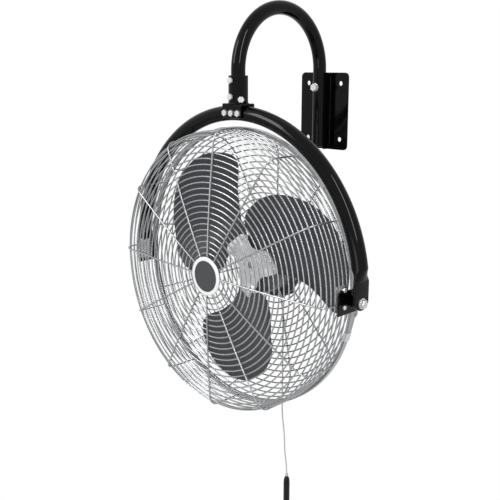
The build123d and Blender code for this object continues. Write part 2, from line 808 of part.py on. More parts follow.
def end_bell(face, inwards, vented):
    """A pressed end cap with a bearing seat; inwards is -1 for the front bell, 1 for the rear."""
    into = Align.MAX if inwards < 0 else Align.MIN
    with BuildPart() as bell:
        with BuildSketch(section_plane) as cup:
            with Locations((0, face)):
                Rectangle(motor_radius, bell_depth, align=(Align.MIN, into))
            outer_corner = cup.vertices().group_by(Axis.X)[-1].sort_by(Axis.Y)
            fillet(outer_corner[-1] if inwards < 0 else outer_corner[0], bell_corner)
            with Locations((0, face + inwards * (motor_wall + bearing_width))):
                Rectangle(
                    motor_radius - motor_wall, bell_depth, align=(Align.MIN, into), mode=Mode.SUBTRACT
                )
            with Locations((bearing_radius + bearing_wall, face + inwards * motor_wall)):
                Rectangle(
                    motor_radius - motor_wall - bearing_radius - bearing_wall,
                    bell_depth,
                    align=(Align.MIN, into),
                    mode=Mode.SUBTRACT,
                )
            with Locations((0, face + inwards * motor_wall)):
                Rectangle(bearing_radius, bell_depth, align=(Align.MIN, into), mode=Mode.SUBTRACT)
            with Locations((0, face)):
                Rectangle(
                    shaft_radius + shaft_hole_gap, bell_depth, align=(Align.MIN, into), mode=Mode.SUBTRACT
                )
        revolve(axis=fan_axis)
        if vented:
            with BuildSketch(fan_plane.offset(face)):
                with PolarLocations(vent_circle_radius, vent_count):
                    SlotOverall(vent_length, vent_width)
            extrude(amount=inwards * motor_wall, mode=Mode.SUBTRACT)
    return bell


save(end_bell(-motor_front, -1, False), "motor_front_bell")
save(end_bell(-motor_back, 1, True), "motor_rear_bell")


def fan_ring(front, length, outer, inner):
    """A plain ring round the fan's axis, from a depth behind the pivots backwards."""
    with BuildPart() as ring:
        with BuildSketch(fan_plane.offset(-front)):
            Circle(outer)
            if inner > 0:
                Circle(inner, mode=Mode.SUBTRACT)
        extrude(amount=-length)
    return ring


band_length = motor_length - 2 * bell_depth
save(
    fan_ring(motor_front + bell_depth, band_length, motor_radius, motor_radius - motor_wall), "motor_band"
)
save(
    fan_ring(core_front, core_length, motor_radius - motor_wall, core_radius + air_gap), "stator_core"
)
winding_outer = core_radius + air_gap + winding_wall + motor_wall
with BuildPart() as windings:
    for front in (core_front - winding_height, core_front + core_length):
        with BuildSketch(fan_plane.offset(-front)):
            Circle(winding_outer)
            Circle(winding_outer - winding_wall, mode=Mode.SUBTRACT)
        extrude(amount=-winding_height)
    fillet(windings.edges().filter_by(GeomType.CIRCLE).sort_by(Axis.Y)[:2], winding_height / 4)
save(windings, "windings")
save(
    fan_ring(motor_front + motor_wall, bearing_width, bearing_radius, shaft_radius + shaft_clearance),
    "front_bearing",
)
save(
    fan_ring(
        motor_back - motor_wall - bearing_width,
        bearing_width,
        bearing_radius,
        shaft_radius + shaft_clearance,
    ),
    "rear_bearing",
)

# the screws sit midway between the rear ribs
motor_screw_phase = rear_rib_phase + 180 / rear_rib_count


def at_motor_screws():
    """The places of the screws that hold the motor's flange to the guard."""
    return PolarLocations(motor_screw_circle_radius, motor_screw_count, start_angle=motor_screw_phase)


with BuildPart() as motor_plate:
    with BuildSketch(fan_plane.offset(-rear_depth)):
        Circle(motor_plate_radius)
        Circle(motor_radius + motor_plate_gap, mode=Mode.SUBTRACT)
        with at_motor_screws():
            Circle(bracket_screw_radius + screw_hole_gap, mode=Mode.SUBTRACT)
    extrude(amount=-motor_plate_thickness)
save(motor_plate, "motor_plate")

with BuildPart() as motor_flange:
    with BuildSketch(fan_plane.offset(-flange_front)):
        Circle(motor_flange_radius)
        Circle(motor_radius, mode=Mode.SUBTRACT)
        with at_motor_screws():
            Circle(bracket_screw_radius + screw_hole_gap, mode=Mode.SUBTRACT)
    extrude(amount=-motor_flange_thickness)
save(motor_flange, "motor_flange")

screw_stack = motor_plate_thickness + motor_flange_thickness
motor_screw = hex_bolt(
    screw_stack + 2 * tiny_head_height, bracket_screw_radius, tiny_head_flats, tiny_head_height
)
with BuildPart() as motor_screws:
    with Locations(fan_plane.offset(-rear_depth)):
        with at_motor_screws():
            add(motor_screw)
save(motor_screws, "motor_screws")

motor_nut = hex_nut(tiny_head_height, bracket_screw_radius + screw_hole_gap, tiny_head_flats)
with BuildPart() as motor_nuts:
    with Locations(fan_plane.offset(-rear_depth - screw_stack - tiny_head_height)):
        with at_motor_screws():
            add(motor_nut)
save(motor_nuts, "motor_nuts")

# ================================================================ rotor
shaft_front = hub_depth - shaft_nose
shaft_back = motor_back - motor_wall
with BuildPart() as motor_shaft:
    with BuildSketch(fan_plane.offset(-shaft_front)):
        Circle(shaft_radius)
    extrude(amount=shaft_front - shaft_back)
    chamfer(motor_shaft.faces().filter_by(GeomType.PLANE).edges(), shaft_radius / 6)
save(motor_shaft, "motor_shaft")
save(fan_ring(core_front, core_length, core_radius, shaft_radius), "rotor_core")

spider_back = hub_depth + spider_thickness
set_screw_depth = spider_back + hub_flange + (hub_length - hub_flange) / 2
with BuildPart() as hub:
    with BuildSketch(fan_plane.offset(-spider_back)):
        Circle(hub_flange_radius)
    extrude(amount=-hub_flange)
    with BuildSketch(fan_plane.offset(-spider_back)):
        Circle(hub_boss_radius)
    extrude(amount=-hub_length)
    fillet(hub.edges().filter_by(GeomType.CIRCLE).group_by(Axis.Y)[-1], 1.0)
    with BuildSketch(fan_plane.offset(-spider_back)):
        Circle(shaft_radius)
        with PolarLocations(hub_rivet_circle_radius, hub_rivet_count):
            Circle(rivet_radius + weld_gap)
    extrude(amount=-hub_length, mode=Mode.SUBTRACT)
    with BuildSketch(radial_plane(90, 0, -set_screw_depth)):
        Circle(rivet_radius)
    extrude(amount=2 * hub_boss_radius, mode=Mode.SUBTRACT)
save(hub, "hub")


def round_rivet(grip):
    """A rivet on the Z axis: its upper head stands on zero, its lower head under the grip."""
    with BuildPart() as rivet:
        with BuildSketch():
            Circle(rivet_radius)
        extrude(amount=-grip)
        for height, way in ((0, 1), (-grip, -1)):
            with BuildSketch(Plane.XY.offset(height)):
                Circle(rivet_head_radius)
            extrude(amount=way * rivet_head)
        fillet(rivet.edges().filter_by(GeomType.CIRCLE).sort_by(Axis.Z)[-1], rivet_head * 0.8)
    return rivet.part


hub_rivet = round_rivet(spider_thickness + hub_flange)
with BuildPart() as hub_rivets:
    with Locations(fan_plane.offset(-hub_depth)):
        with PolarLocations(hub_rivet_circle_radius, hub_rivet_count):
            add(hub_rivet)
save(hub_rivets, "hub_rivets")

# A blade is modelled with its middle along X, anticlockwise to +Y and the front to +Z,
# its height counted from the pivots, and then turned to its place on the hub.
tab_depth = hub_depth + spider_thickness / 2
tab_slope = degrees(atan2(blade_root_slope, 1))


def across(distance):
    """A plane across a blade at a distance out from the fan's axis."""
    return Plane(origin=(distance, 0, 0), x_dir=(0, 1, 0), z_dir=(1, 0, 0))


def sheet_section(distance, depth, slope, camber, thickness):
    """A strip across a blade, flat or cambered, thickness up from its own surface."""
    rise = slope * blade_half_width
    with BuildSketch(across(distance)) as strip:
        with BuildLine():
            for step in (0, thickness):
                low_end = (-blade_half_width, -depth - rise + step)
                high_end = (blade_half_width, -depth + rise + step)
                if camber > 0:
                    ThreePointArc(low_end, (0, -depth - camber + step), high_end)
                else:
                    Line(low_end, high_end)
            for side in (-1, 1):
                Line(
                    (side * blade_half_width, -depth + side * rise),
                    (side * blade_half_width, -depth + side * rise + thickness),
                )
        make_face()
    return strip.sketch


def polar(place):
    """A flat place from a radius and an angle."""
    return (place[0] * cos(radians(place[1])), place[0] * sin(radians(place[1])))


def rotor_place(turn):
    """Where a blade or a spider arm goes when the hub has turned it from +X."""
    return fan_plane.location * Rotation(0, 0, turn)


# the flat root sits behind the spider's arm, on the same slope
tab_plane = Plane(
    origin=(0, 0, -tab_depth), x_dir=(1, 0, 0), z_dir=(0, -sin(radians(tab_slope)), cos(radians(tab_slope)))
)
tab_back = spider_thickness / 2 + blade_thickness
tab_drop = tab_back / cos(radians(tab_slope))
tab_section = (tab_depth + tab_drop, blade_root_slope, 0, blade_thickness / cos(radians(tab_slope)))
sheet_sections = [sheet_section(blade_tab_length, *tab_section)]
for section in blade_sections:
    sheet_sections.append(sheet_section(*section, blade_thickness))
with BuildPart() as blade:
    extrude(sheet_section(0, *tab_section), amount=blade_tab_length)
    loft(sections=sheet_sections)
    with BuildSketch(Plane.XY.offset(-4 * hub_depth)):
        with BuildLine():
            Spline(*[polar(place) for place in blade_outline], periodic=True)
        make_face()
    extrude(amount=8 * hub_depth, mode=Mode.INTERSECT)
    with BuildSketch(tab_plane.offset(-tab_back - cut_margin)):
        with Locations(*blade_rivet_places):
            Circle(rivet_radius + weld_gap)
    extrude(amount=2 * tab_back, mode=Mode.SUBTRACT)

rotor_turns = [blade_phase + number * 360 / blade_count for number in range(blade_count)]
for number, turn in enumerate(rotor_turns, start=1):
    with BuildPart() as turned_blade:
        with Locations(rotor_place(turn)):
            add(blade.part)
    save(turned_blade, f"blade_{number}")

with BuildPart() as spider_arm:
    with BuildSketch(across(0)):
        with Locations((0, -tab_depth)):
            Rectangle(spider_arm_width, spider_thickness)
    extrude(amount=spider_flat_length)
    with BuildSketch(across(spider_flat_length)):
        with Locations((0, -tab_depth)):
            Rectangle(spider_arm_width, spider_thickness)
    with BuildSketch(across(spider_twist_length)):
        with Locations(Location((0, -tab_depth), tab_slope)):
            Rectangle(spider_arm_width, spider_thickness)
    loft()
    with BuildSketch(tab_plane.offset(-spider_thickness / 2)) as arm_end:
        with Locations((spider_twist_length, 0)):
            Rectangle(
                spider_arm_length - spider_twist_length,
                spider_arm_width,
                align=(Align.MIN, Align.CENTER),
            )
        fillet(arm_end.vertices().group_by(Axis.X)[-1], spider_arm_corner)
    extrude(amount=spider_thickness)
    with BuildSketch(tab_plane.offset(-spider_thickness)):
        with Locations(*blade_rivet_places):
            Circle(rivet_radius + weld_gap)
    extrude(amount=2 * spider_thickness, mode=Mode.SUBTRACT)

with BuildPart() as hub_spider:
    with BuildSketch(fan_plane.offset(-hub_depth - spider_thickness)):
        Circle(spider_radius)
    extrude(amount=spider_thickness)
    for turn in rotor_turns:
        with Locations(rotor_place(turn)):
            add(spider_arm.part)
    with BuildSketch(fan_plane.offset(-hub_depth - 2 * spider_thickness)):
        Circle(shaft_radius + weld_gap)
        with PolarLocations(hub_rivet_circle_radius, hub_rivet_count):
            Circle(rivet_radius + weld_gap)
    extrude(amount=3 * spider_thickness, mode=Mode.SUBTRACT)
save(hub_spider, "hub_spider")

blade_rivet = round_rivet(spider_thickness + blade_thickness)
with BuildPart() as blade_rivets:
    for turn in rotor_turns:
        with Locations(rotor_place(turn)):
            with Locations(tab_plane.offset(spider_thickness / 2)):
                with Locations(*blade_rivet_places):
                    add(blade_rivet)
save(blade_rivets, "blade_rivets")

with BuildPart() as hub_set_screw:
    with BuildSketch(radial_plane(90, shaft_radius + weld_gap, -set_screw_depth)):
        Circle(rivet_radius)
    extrude(amount=hub_boss_radius - shaft_radius + set_screw_stand)
    with BuildSketch(radial_plane(90, hub_boss_radius + set_screw_stand, -set_screw_depth)):
        RegularPolygon(rivet_radius / 2, 6)
    extrude(amount=-rivet_radius, mode=Mode.SUBTRACT)
save(hub_set_screw, "hub_set_screw")

# ================================================================ pull switch
switch_place = -arm_reach + switch_depth
motor_under = fan_height - motor_radius
switch_floor = motor_under - switch_drop
nipple_end = switch_floor - nipple_length
plunger_end = nipple_end - plunger_length
with BuildPart() as switch_box:
    with BuildSketch(Plane.XY.offset(switch_floor)):
        with Locations((0, switch_place)):
            RectangleRounded(switch_width, switch_length, switch_corner)
    extrude(amount=switch_drop + switch_wall * 4)
    fillet(switch_box.faces().sort_by(Axis.Z)[0].edges(), switch_corner / 2)
    with BuildSketch(Plane.XY.offset(switch_floor + switch_wall)):
        with Locations((0, switch_place)):
            RectangleRounded(
                switch_width - 2 * switch_wall, switch_length - 2 * switch_wall, switch_corner / 2
            )
    extrude(amount=switch_drop * 2, mode=Mode.SUBTRACT)
    with BuildSketch(fan_plane):
        Circle(motor_radius + weld_gap)
    extrude(amount=-arm_reach, mode=Mode.SUBTRACT)
    with BuildSketch(Plane.XY.offset(switch_floor)):
        with Locations((0, switch_place)):
            Circle(nipple_radius - switch_wall)
    extrude(amount=switch_wall, mode=Mode.SUBTRACT)
save(switch_box, "switch_box")

with BuildPart() as switch_nipple:
    with BuildSketch(Plane.XY.offset(nipple_end)):
        with Locations((0, switch_place)):
            Circle(nipple_radius)
    extrude(amount=nipple_length)
    chamfer(switch_nipple.faces().sort_by(Axis.Z)[0].edges(), nipple_radius / 8)
    with BuildSketch(Plane.XY.offset(nipple_end)):
        with Locations((0, switch_place)):
            Circle(nipple_radius - switch_wall - weld_gap)
    extrude(amount=nipple_length + switch_wall)
    with BuildSketch(Plane.XY.offset(nipple_end)):
        with Locations((0, switch_place)):
            Circle(plunger_radius + plunger_clearance)
    extrude(amount=nipple_length + switch_wall, mode=Mode.SUBTRACT)
save(switch_nipple, "switch_nipple")

plunger_top = switch_floor + switch_wall + face_gap + pull_travel
with BuildPart() as pull_plunger:
    with BuildSketch(Plane.XY.offset(plunger_end)):
        with Locations((0, switch_place)):
            Circle(plunger_radius)
    extrude(amount=plunger_top - plunger_end)
    with BuildSketch(Plane.XY.offset(plunger_top)):
        with Locations((0, switch_place)):
            Circle(plunger_head_radius)
    extrude(amount=switch_wall)
save(pull_plunger, "pull_plunger")

cord_points = [(0, switch_place, plunger_end)] + [(0, -away, height) for away, height in cord_route]


def corner_radius(before, corner, after):
    """The widest arc that a corner of the cord's route allows."""
    arriving = Vector(*corner) - Vector(*before)
    leaving = Vector(*after) - Vector(*corner)
    return 0.45 * min(arriving.length, leaving.length) / tan(radians(arriving.get_angle(leaving) / 2))


cord_radii = [
    corner_radius(*cord_points[place : place + 3]) for place in range(len(cord_points) - 2)
]
print("cord radii", [round(radius, 1) for radius in cord_radii])
with BuildPart() as pull_cord:
    with BuildLine() as cord_line:
        FilletPolyline(*cord_points, radius=cord_radii)
    with BuildSketch(Plane(origin=cord_line.line @ 0, z_dir=cord_line.line % 0)):
        Circle(cord_radius)
    sweep()
save(pull_cord, "pull_cord")
cord_length = cord_line.wires()[0].length
print("cord length", round(cord_length, 1))
print("cord volume share", round(pull_cord.part.volume / (pi * cord_radius**2 * cord_length), 4))

cord_end = cord_points[-1]
knob_top = cord_end[2] - weld_gap - bead_length
with BuildPart() as cord_bead:
    with BuildSketch(Plane.XY.offset(knob_top)):
        with Locations((0, cord_end[1])):
            Circle(bead_radius)
    extrude(amount=bead_length)
    fillet(cord_bead.edges().filter_by(GeomType.CIRCLE), bead_length / 4)
save(cord_bead, "cord_bead")

with BuildPart() as cord_knob:
    with BuildSketch(Plane(origin=(0, cord_end[1], knob_top), x_dir=(1, 0, 0), z_dir=(0, -1, 0))) as half:
        with BuildLine():
            nose = Spline(
                (knob_top_radius, 0),
                (knob_radius, -knob_nose),
                tangents=((1, -1), (0, -1)),
            )
            Polyline(nose @ 1, (knob_radius, -knob_length), (0, -knob_length), (0, 0), nose @ 0)
        make_face()
        fillet(half.vertices().group_by(Axis.Y)[0].sort_by(Axis.X)[-1], knob_radius / 3)
    revolve(axis=Axis((0, cord_end[1], 0), (0, 0, 1)))
save(cord_knob, "cord_knob")
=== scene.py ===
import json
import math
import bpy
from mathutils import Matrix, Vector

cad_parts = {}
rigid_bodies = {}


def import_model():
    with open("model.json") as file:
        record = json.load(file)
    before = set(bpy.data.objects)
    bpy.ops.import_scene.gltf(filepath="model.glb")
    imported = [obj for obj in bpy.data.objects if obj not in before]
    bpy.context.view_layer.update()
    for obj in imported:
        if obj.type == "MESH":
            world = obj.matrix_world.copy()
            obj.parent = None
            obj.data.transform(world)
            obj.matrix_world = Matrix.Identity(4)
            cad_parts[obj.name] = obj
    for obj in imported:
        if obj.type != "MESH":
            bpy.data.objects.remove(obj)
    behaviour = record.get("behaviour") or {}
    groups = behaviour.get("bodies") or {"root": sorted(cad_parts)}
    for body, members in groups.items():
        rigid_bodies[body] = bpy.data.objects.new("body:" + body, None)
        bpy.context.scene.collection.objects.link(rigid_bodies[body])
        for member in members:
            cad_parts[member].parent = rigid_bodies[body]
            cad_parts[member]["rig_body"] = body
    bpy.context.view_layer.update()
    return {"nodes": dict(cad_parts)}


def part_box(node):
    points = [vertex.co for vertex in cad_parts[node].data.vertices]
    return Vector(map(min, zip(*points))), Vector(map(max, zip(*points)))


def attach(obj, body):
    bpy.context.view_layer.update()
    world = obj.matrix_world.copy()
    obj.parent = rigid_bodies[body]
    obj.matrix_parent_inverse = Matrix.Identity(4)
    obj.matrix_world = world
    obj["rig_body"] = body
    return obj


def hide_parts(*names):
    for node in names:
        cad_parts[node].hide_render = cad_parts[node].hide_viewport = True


bl_info = {
    "name": "Wall Mounted Fan",
    "version": (1, 0, 0),
    "blender": (4, 5, 0),
    "location": "View3D > Sidebar > Wall Fan",
    "description": "Dresses the frame of a wall mounted fan: wires, enamel, plating, cord and studio",
    "category": "Object",
}

import bmesh
import bpy
from mathutils import Matrix, Vector

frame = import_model()
MM = 0.001

# The places below follow the frame: Y is the fan's axis, and the wall is the plane Y = 0.
RIM_LOW, RIM_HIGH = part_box("rim_channel")
FAN_CENTRE = Vector(((RIM_LOW.x + RIM_HIGH.x) / 2, 0, (RIM_LOW.z + RIM_HIGH.z) / 2))
ARM_REACH = 240 * MM            # wall to the plane of the tilt pivots
SLEEVE_RADIUS = 17.3 * MM
MERGE_DISTANCE = 0.002 * MM


# ---------------------------------------------------------------- small helpers
def linear(code):
    """Turn an sRGB hex colour such as '#c0c4c8' to the linear values that Blender uses."""
    values = [int(code[place : place + 2], 16) / 255 for place in (1, 3, 5)]
    return [v / 12.92 if v <= 0.04045 else ((v + 0.055) / 1.055) ** 2.4 for v in values] + [1.0]


def add_node(tree, kind, settings=None, **sockets):
    """Add a node with its settings.

    A socket is named with underscores for spaces, or by its place as i0, i1 and so on. It gets a
    value, or a link from a (node, output) pair.
    """
    made = tree.nodes.new(kind)
    for name, value in (settings or {}).items():
        setattr(made, name, value)
    for name, value in sockets.items():
        key = int(name[1:]) if name[0] == "i" and name[1:].isdigit() else name.replace("_", " ")
        socket = made.inputs[key]
        if isinstance(value, tuple) and isinstance(value[0], bpy.types.Node):
            tree.links.new(value[0].outputs[value[1]], socket)
        else:
            socket.default_value = value
    return made


def group_input(tree, name, kind, default=None, low=None):
    """Name an input of a Geometry Nodes tree and return its identifier."""
    made = tree.interface.new_socket(name=name, in_out="INPUT", socket_type=kind)
    if default is not None:
        made.default_value = default
    if low is not None:
        made.min_value = low
    return made.identifier


def new_tree(name):
    """Start a Geometry Nodes tree that takes and gives one geometry."""
    tree = bpy.data.node_groups.new(name, "GeometryNodeTree")
    tree.interface.new_socket(name="Geometry", in_out="INPUT", socket_type="NodeSocketGeometry")
    tree.interface.new_socket(name="Geometry", in_out="OUTPUT", socket_type="NodeSocketGeometry")
    return tree


def grow(source, tree, inputs, name):
    """Run a tree on an object and keep the result as a plain mesh object of its own."""
    modifier = source.modifiers.new("Grow", "NODES")
    modifier.node_group = tree
    for identifier, value in inputs.items():
        modifier[identifier] = value
    bpy.context.view_layer.update()
    graph = bpy.context.evaluated_depsgraph_get()
    mesh = bpy.data.meshes.new_from_object(source.evaluated_get(graph), depsgraph=graph)
    bpy.data.objects.remove(source)
    made = bpy.data.objects.new(name, mesh)
    bpy.context.scene.collection.objects.link(made)
    return made


def route_curve(name, points):
    """A poly curve through points in the frame, used as the seed of a tree."""
    curve = bpy.data.curves.new(name, "CURVE")
    curve.dimensions = "3D"
    spline = curve.splines.new("POLY")
    spline.points.add(len(points) - 1)
    for place, point in zip(spline.points, points):
        place.co = (*point, 1)
    made = bpy.data.objects.new(name, curve)
    bpy.context.scene.collection.objects.link(made)
    return made


def finish_piece(made, body, replaced):
    """Let a new piece ride on its body and stand for its CAD nodes, which it hides."""
    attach(made, body)
    if replaced:
        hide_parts(*replaced)
    return made


def smooth_copy(node, material, angle=32):
    """Stand a merged, smooth shaded copy of a CAD node in its place."""
    source = frame["nodes"][node]
    mesh = source.data.copy()
    build = bmesh.new()
    build.from_mesh(mesh)
    bmesh.ops.remove_doubles(build, verts=build.verts, dist=MERGE_DISTANCE)
    for face in build.faces:
        face.smooth = True
    for edge in build.edges:
        sharp = len(edge.link_faces) != 2 or edge.calc_face_angle(0) > math.radians(angle)
        edge.smooth = not sharp
    build.to_mesh(mesh)
    build.free()
    mesh.materials.clear()
    mesh.materials.append(material)
    made = bpy.data.objects.new(node + "_finished", mesh)
    bpy.context.scene.collection.objects.link(made)
    return finish_piece(made, source["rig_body"], [node])


# ---------------------------------------------------------------- materials
# the second tone of finishes that several pieces share
PLASTIC_SHADE = "#08080a"
ENAMEL_SHADE = "#6c6e71"
STEEL_SHADE = "#85888b"
NOISE_DETAIL = 4.0
NOISE_LOW, NOISE_HIGH = 0.3, 0.7    # where most of a noise's values lie
RELIEF_SHARE = 0.02                 # depth of a surface's relief as a share of its grain


def start_material(name):
    """A material with a Principled shader, and its tree."""
    made = bpy.data.materials.new(name)
    made.use_nodes = True
    tree = made.node_tree
    shader = next(n for n in tree.nodes if n.type == "BSDF_PRINCIPLED")
    return made, tree, shader


def uneven(tree, shader, base, other, grain_mm, low, high, bump):
    """Vary a surface's colour, its roughness from low to high and its relief with one fine noise."""
    place = add_node(tree, "ShaderNodeTexCoord")
    noise = add_node(
        tree,
        "ShaderNodeTexNoise",
        Vector=(place, "Object"),
        Scale=1 / (grain_mm * MM),
        Detail=NOISE_DETAIL,
    )
    tint = add_node(tree, "ShaderNodeMix", {"data_type": "RGBA"}, i0=(noise, "Fac"), i6=base, i7=other)
    shine = add_node(
        tree,
        "ShaderNodeMapRange",
        Value=(noise, "Fac"),
        From_Min=NOISE_LOW,
        From_Max=NOISE_HIGH,
        To_Min=low,
        To_Max=high,
    )
    depth = RELIEF_SHARE * MM * grain_mm
    relief = add_node(tree, "ShaderNodeBump", Height=(noise, "Fac"), Strength=bump, Distance=depth)
    tree.links.new(tint.outputs[2], shader.inputs["Base Color"])
    tree.links.new(shine.outputs[0], shader.inputs["Roughness"])
    tree.links.new(relief.outputs[0], shader.inputs["Normal"])


def black_powder_coat(colour):
    """Gloss powder coat on steel, sprayed and baked: nearly black, with a faint orange peel."""
    made, tree, shader = start_material("Powder coated steel, gloss black")
    uneven(tree, shader, linear(colour), linear("#060607"), grain_mm=3.0, low=0.09, high=0.15, bump=0.1)
    shader.inputs["IOR"].default_value = 1.5
    # a weak reflection keeps the paint black in white surroundings and leaves the lamps' highlights
    shader.inputs["Specular IOR Level"].default_value = 0.09
    shader.inputs["Coat Weight"].default_value = 0.08
    shader.inputs["Coat Roughness"].default_value = 0.05
    return made


def stoved_enamel(name, colour, other):
    """Satin stoving enamel on pressed steel: even, with softer highlights than the powder coat."""
    made, tree, shader = start_material(name)
    uneven(tree, shader, linear(colour), linear(other), grain_mm=2.0, low=0.32, high=0.45, bump=0.1)
    shader.inputs["IOR"].default_value = 1.5
    return made


def bright_wire(colour):
    """Bright nickel plated drawn wire: a clear metal shine, a little greyer in patches."""
    made, tree, shader = start_material("Nickel plated drawn wire")
    uneven(tree, shader, linear(colour), linear("#909294"), grain_mm=6.0, low=0.2, high=0.34, bump=0.05)
    shader.inputs["Metallic"].default_value = 1.0
    return made


def zinc_plate(colour):
    """Zinc plated turned steel: pale, slightly cloudy, with a soft shine."""
    made, tree, shader = start_material("Zinc plated steel")
    uneven(tree, shader, linear(colour), linear("#b4b6b8"), grain_mm=2.5, low=0.26, high=0.42, bump=0.12)
    shader.inputs["Metallic"].default_value = 0.6
    return made


def blade_sheet(colour):
    """Lacquered aluminium sheet, pressed to a blade: dark grey satin with a fine rolled grain."""
    made, tree, shader = start_material("Pressed aluminium sheet, grey lacquer")
    uneven(tree, shader, linear(colour), linear("#3f4044"), grain_mm=4.0, low=0.34, high=0.48, bump=0.08)
    shader.inputs["IOR"].default_value = 1.45
    shader.inputs["Specular IOR Level"].default_value = 0.25
    shader.inputs["Coat Weight"].default_value = 0.1
    shader.inputs["Coat Roughness"].default_value = 0.25
    return made


def brushed_steel(name, colour, other):
    """Bare rolled steel, brushed: grey with fine uneven shine."""
    made, tree, shader = start_material(name)
    uneven(tree, shader, linear(colour), linear(other), grain_mm=1.5, low=0.3, high=0.5, bump=0.2)
    shader.inputs["Metallic"].default_value = 1.0
    return made


def pale_stamping(name, colour, other):
    """Zinc flake paint on a steel stamping: pale, even and only half metallic."""
    made, tree, shader = start_material(name)
    uneven(tree, shader, linear(colour), linear(other), grain_mm=1.5, low=0.38, high=0.5, bump=0.06)
    shader.inputs["Metallic"].default_value = 0.5
    return made


def enamelled_copper(colour):
    """Varnished copper wire, wound: reddish brown and glossy."""
    made, tree, shader = start_material("Enamelled copper wire")
    uneven(tree, shader, linear(colour), linear("#5c2f18"), grain_mm=1.2, low=0.25, high=0.4, bump=0.3)
    shader.inputs["Metallic"].default_value = 1.0
    return made


def moulded_plastic(name, colour, other):
    """Moulded ABS from a polished tool: glossy with a very faint ripple."""
    made, tree, shader = start_material(name)
    uneven(tree, shader, linear(colour), linear(other), grain_mm=5.0, low=0.1, high=0.18, bump=0.05)
    shader.inputs["IOR"].default_value = 1.53
    # as in the powder coat, a weak reflection keeps the plastic black
    shader.inputs["Specular IOR Level"].default_value = 0.2
    return made


def matt_plastic(name, colour, other):
    """Moulded acetal from a blasted tool: pale, with no clear reflection."""
    made, tree, shader = start_material(name)
    uneven(tree, shader, linear(colour), linear(other), grain_mm=3.0, low=0.48, high=0.58, bump=0.04)
    shader.inputs["IOR"].default_value = 1.48
    return made


def braided_cord(colour):
    """Braided nylon cord: pale grey strands, wound aslant, with a soft sheen."""
    made, tree, shader = start_material("Braided nylon cord")
    place = add_node(tree, "ShaderNodeTexCoord")
    turned = add_node(tree, "ShaderNodeMapping", Vector=(place, "Object"), Rotation=(0.0, 0.9, 0.6))
    # the wave repeats every 2 mm here, as light and dark strands of about 1 mm each
    strands = add_node(
        tree,
        "ShaderNodeTexWave",
        {"wave_type": "BANDS", "bands_direction": "Z"},
        Vector=(turned, "Vector"),
        Scale=160.0,
        Distortion=1.5,
    )
    tint = add_node(
        tree,
        "ShaderNodeMix",
        {"data_type": "RGBA"},
        i0=(strands, "Fac"),
        i6=linear("#909090"),
        i7=linear(colour),
    )
    relief = add_node(tree, "ShaderNodeBump", Height=(strands, "Fac"), Strength=0.5, Distance=0.2 * MM)
    tree.links.new(tint.outputs[2], shader.inputs["Base Color"])
    tree.links.new(relief.outputs[0], shader.inputs["Normal"])
    shader.inputs["Roughness"].default_value = 0.7
    shader.inputs["Sheen Weight"].default_value = 0.3
    return made


# ---------------------------------------------------------------- the user's sizes and colours
def colour_choice(name, description, code):
    """A colour the user may change, as an sRGB hex code."""
    return bpy.props.StringProperty(name=name, description=description, default=code)


def length_choice(name, description, millimetres):
    """A length the user may change."""
    return bpy.props.FloatProperty(
        name=name, description=description, default=millimetres * MM, unit="LENGTH", subtype="DISTANCE"
    )


class FanFinishes(bpy.types.PropertyGroup):
    """Colours of the fan's finishes, as sRGB hex codes."""

    black: colour_choice("Powder coat", "Colour of the arm, the yoke and the wall plate", "#020203")
    enamel: colour_choice("Enamel", "Colour of the motor and its plates", "#606265")
    wire: colour_choice("Guard wire", "Colour of the plated guard wires", "#a8aaac")
    zinc: colour_choice("Zinc", "Colour of the plated fasteners", "#d6d8da")
    blade: colour_choice("Blades", "Colour of the blades", "#35363a")
    spider: colour_choice("Spider", "Colour of the hub spider", "#d6d7d8")
    steel: colour_choice("Steel", "Colour of bare steel inside the motor", "#a0a3a6")
    copper: colour_choice("Copper", "Colour of the windings", "#a4562c")
    badge: colour_choice("Badge", "Colour of the plain badge disc", "#2a2b2e")
    trim: colour_choice("Badge rim", "Colour of the badge's rim", "#f0f0f0")
    plastic: colour_choice("Plastic", "Colour of the pull and the switch box", "#030304")
    cord: colour_choice("Cord", "Colour of the braided pull cord", "#cacaca")


class FanSizes(bpy.types.PropertyGroup):
    """Sizes of the wires and the cord."""

    ring_wire: length_choice("Ring wire", "Radius of the wire in the guard's rings", 1.3)
    rib_wire: length_choice("Rib wire", "Radius of the wire in the guard's ribs", 1.5)
    ring_pitch: length_choice("Front ring pitch", "Distance between rings along a front rib", 10.4)
    rear_ring_pitch: length_choice("Rear ring pitch", "Distance between rings along a rear rib", 12.0)
    cord_radius: length_choice("Cord radius", "Radius of the pull cord", 1.4)


def finishes():
    """The user's colours."""
    return bpy.context.scene.fan_finishes


def sizes():
    """The user's sizes."""
    return bpy.context.scene.fan_sizes


# ---------------------------------------------------------------- the guard's shape
GUARD_RADIUS = (RIM_HIGH.x - RIM_LOW.x) / 2
RIM_FRONT = -ARM_REACH - RIM_LOW.y          # front of the joint ring, ahead of the pivots
RIM_BACK = -ARM_REACH - RIM_HIGH.y
FRONT_APEX = 80 * MM                        # top of the front dome, ahead of the pivots
FRONT_DOME = 2400 * MM                      # radius of the front dome
FRONT_SHOULDER = 20 * MM                    # radius where a front rib turns down to the side wall
RIB_START = 26 * MM                         # inner end of a front rib, out from the axis
RIB_COUNT = 12
RIB_PHASE = 28                              # angle of the first rib in degrees
REAR_RIB_PHASE = 20
REAR_CORNERS = ((63, -90.45), (243, -60), (255, -12.8))  # mm out and mm ahead of the pivots
REAR_BEND = 60 * MM                         # radius of a rear rib's bend
FRONT_RINGS = {"start": 15 * MM, "count": 27}   # first ring along the rib, and the number of rings
REAR_RINGS = {"start": 21 * MM, "count": 17}
WELD_SINK = 0.1 * MM                        # how far a ring sinks into its ribs
DOME_STEPS, SHOULDER_STEPS, BEND_STEPS = 16, 12, 24
RING_STEPS = 144
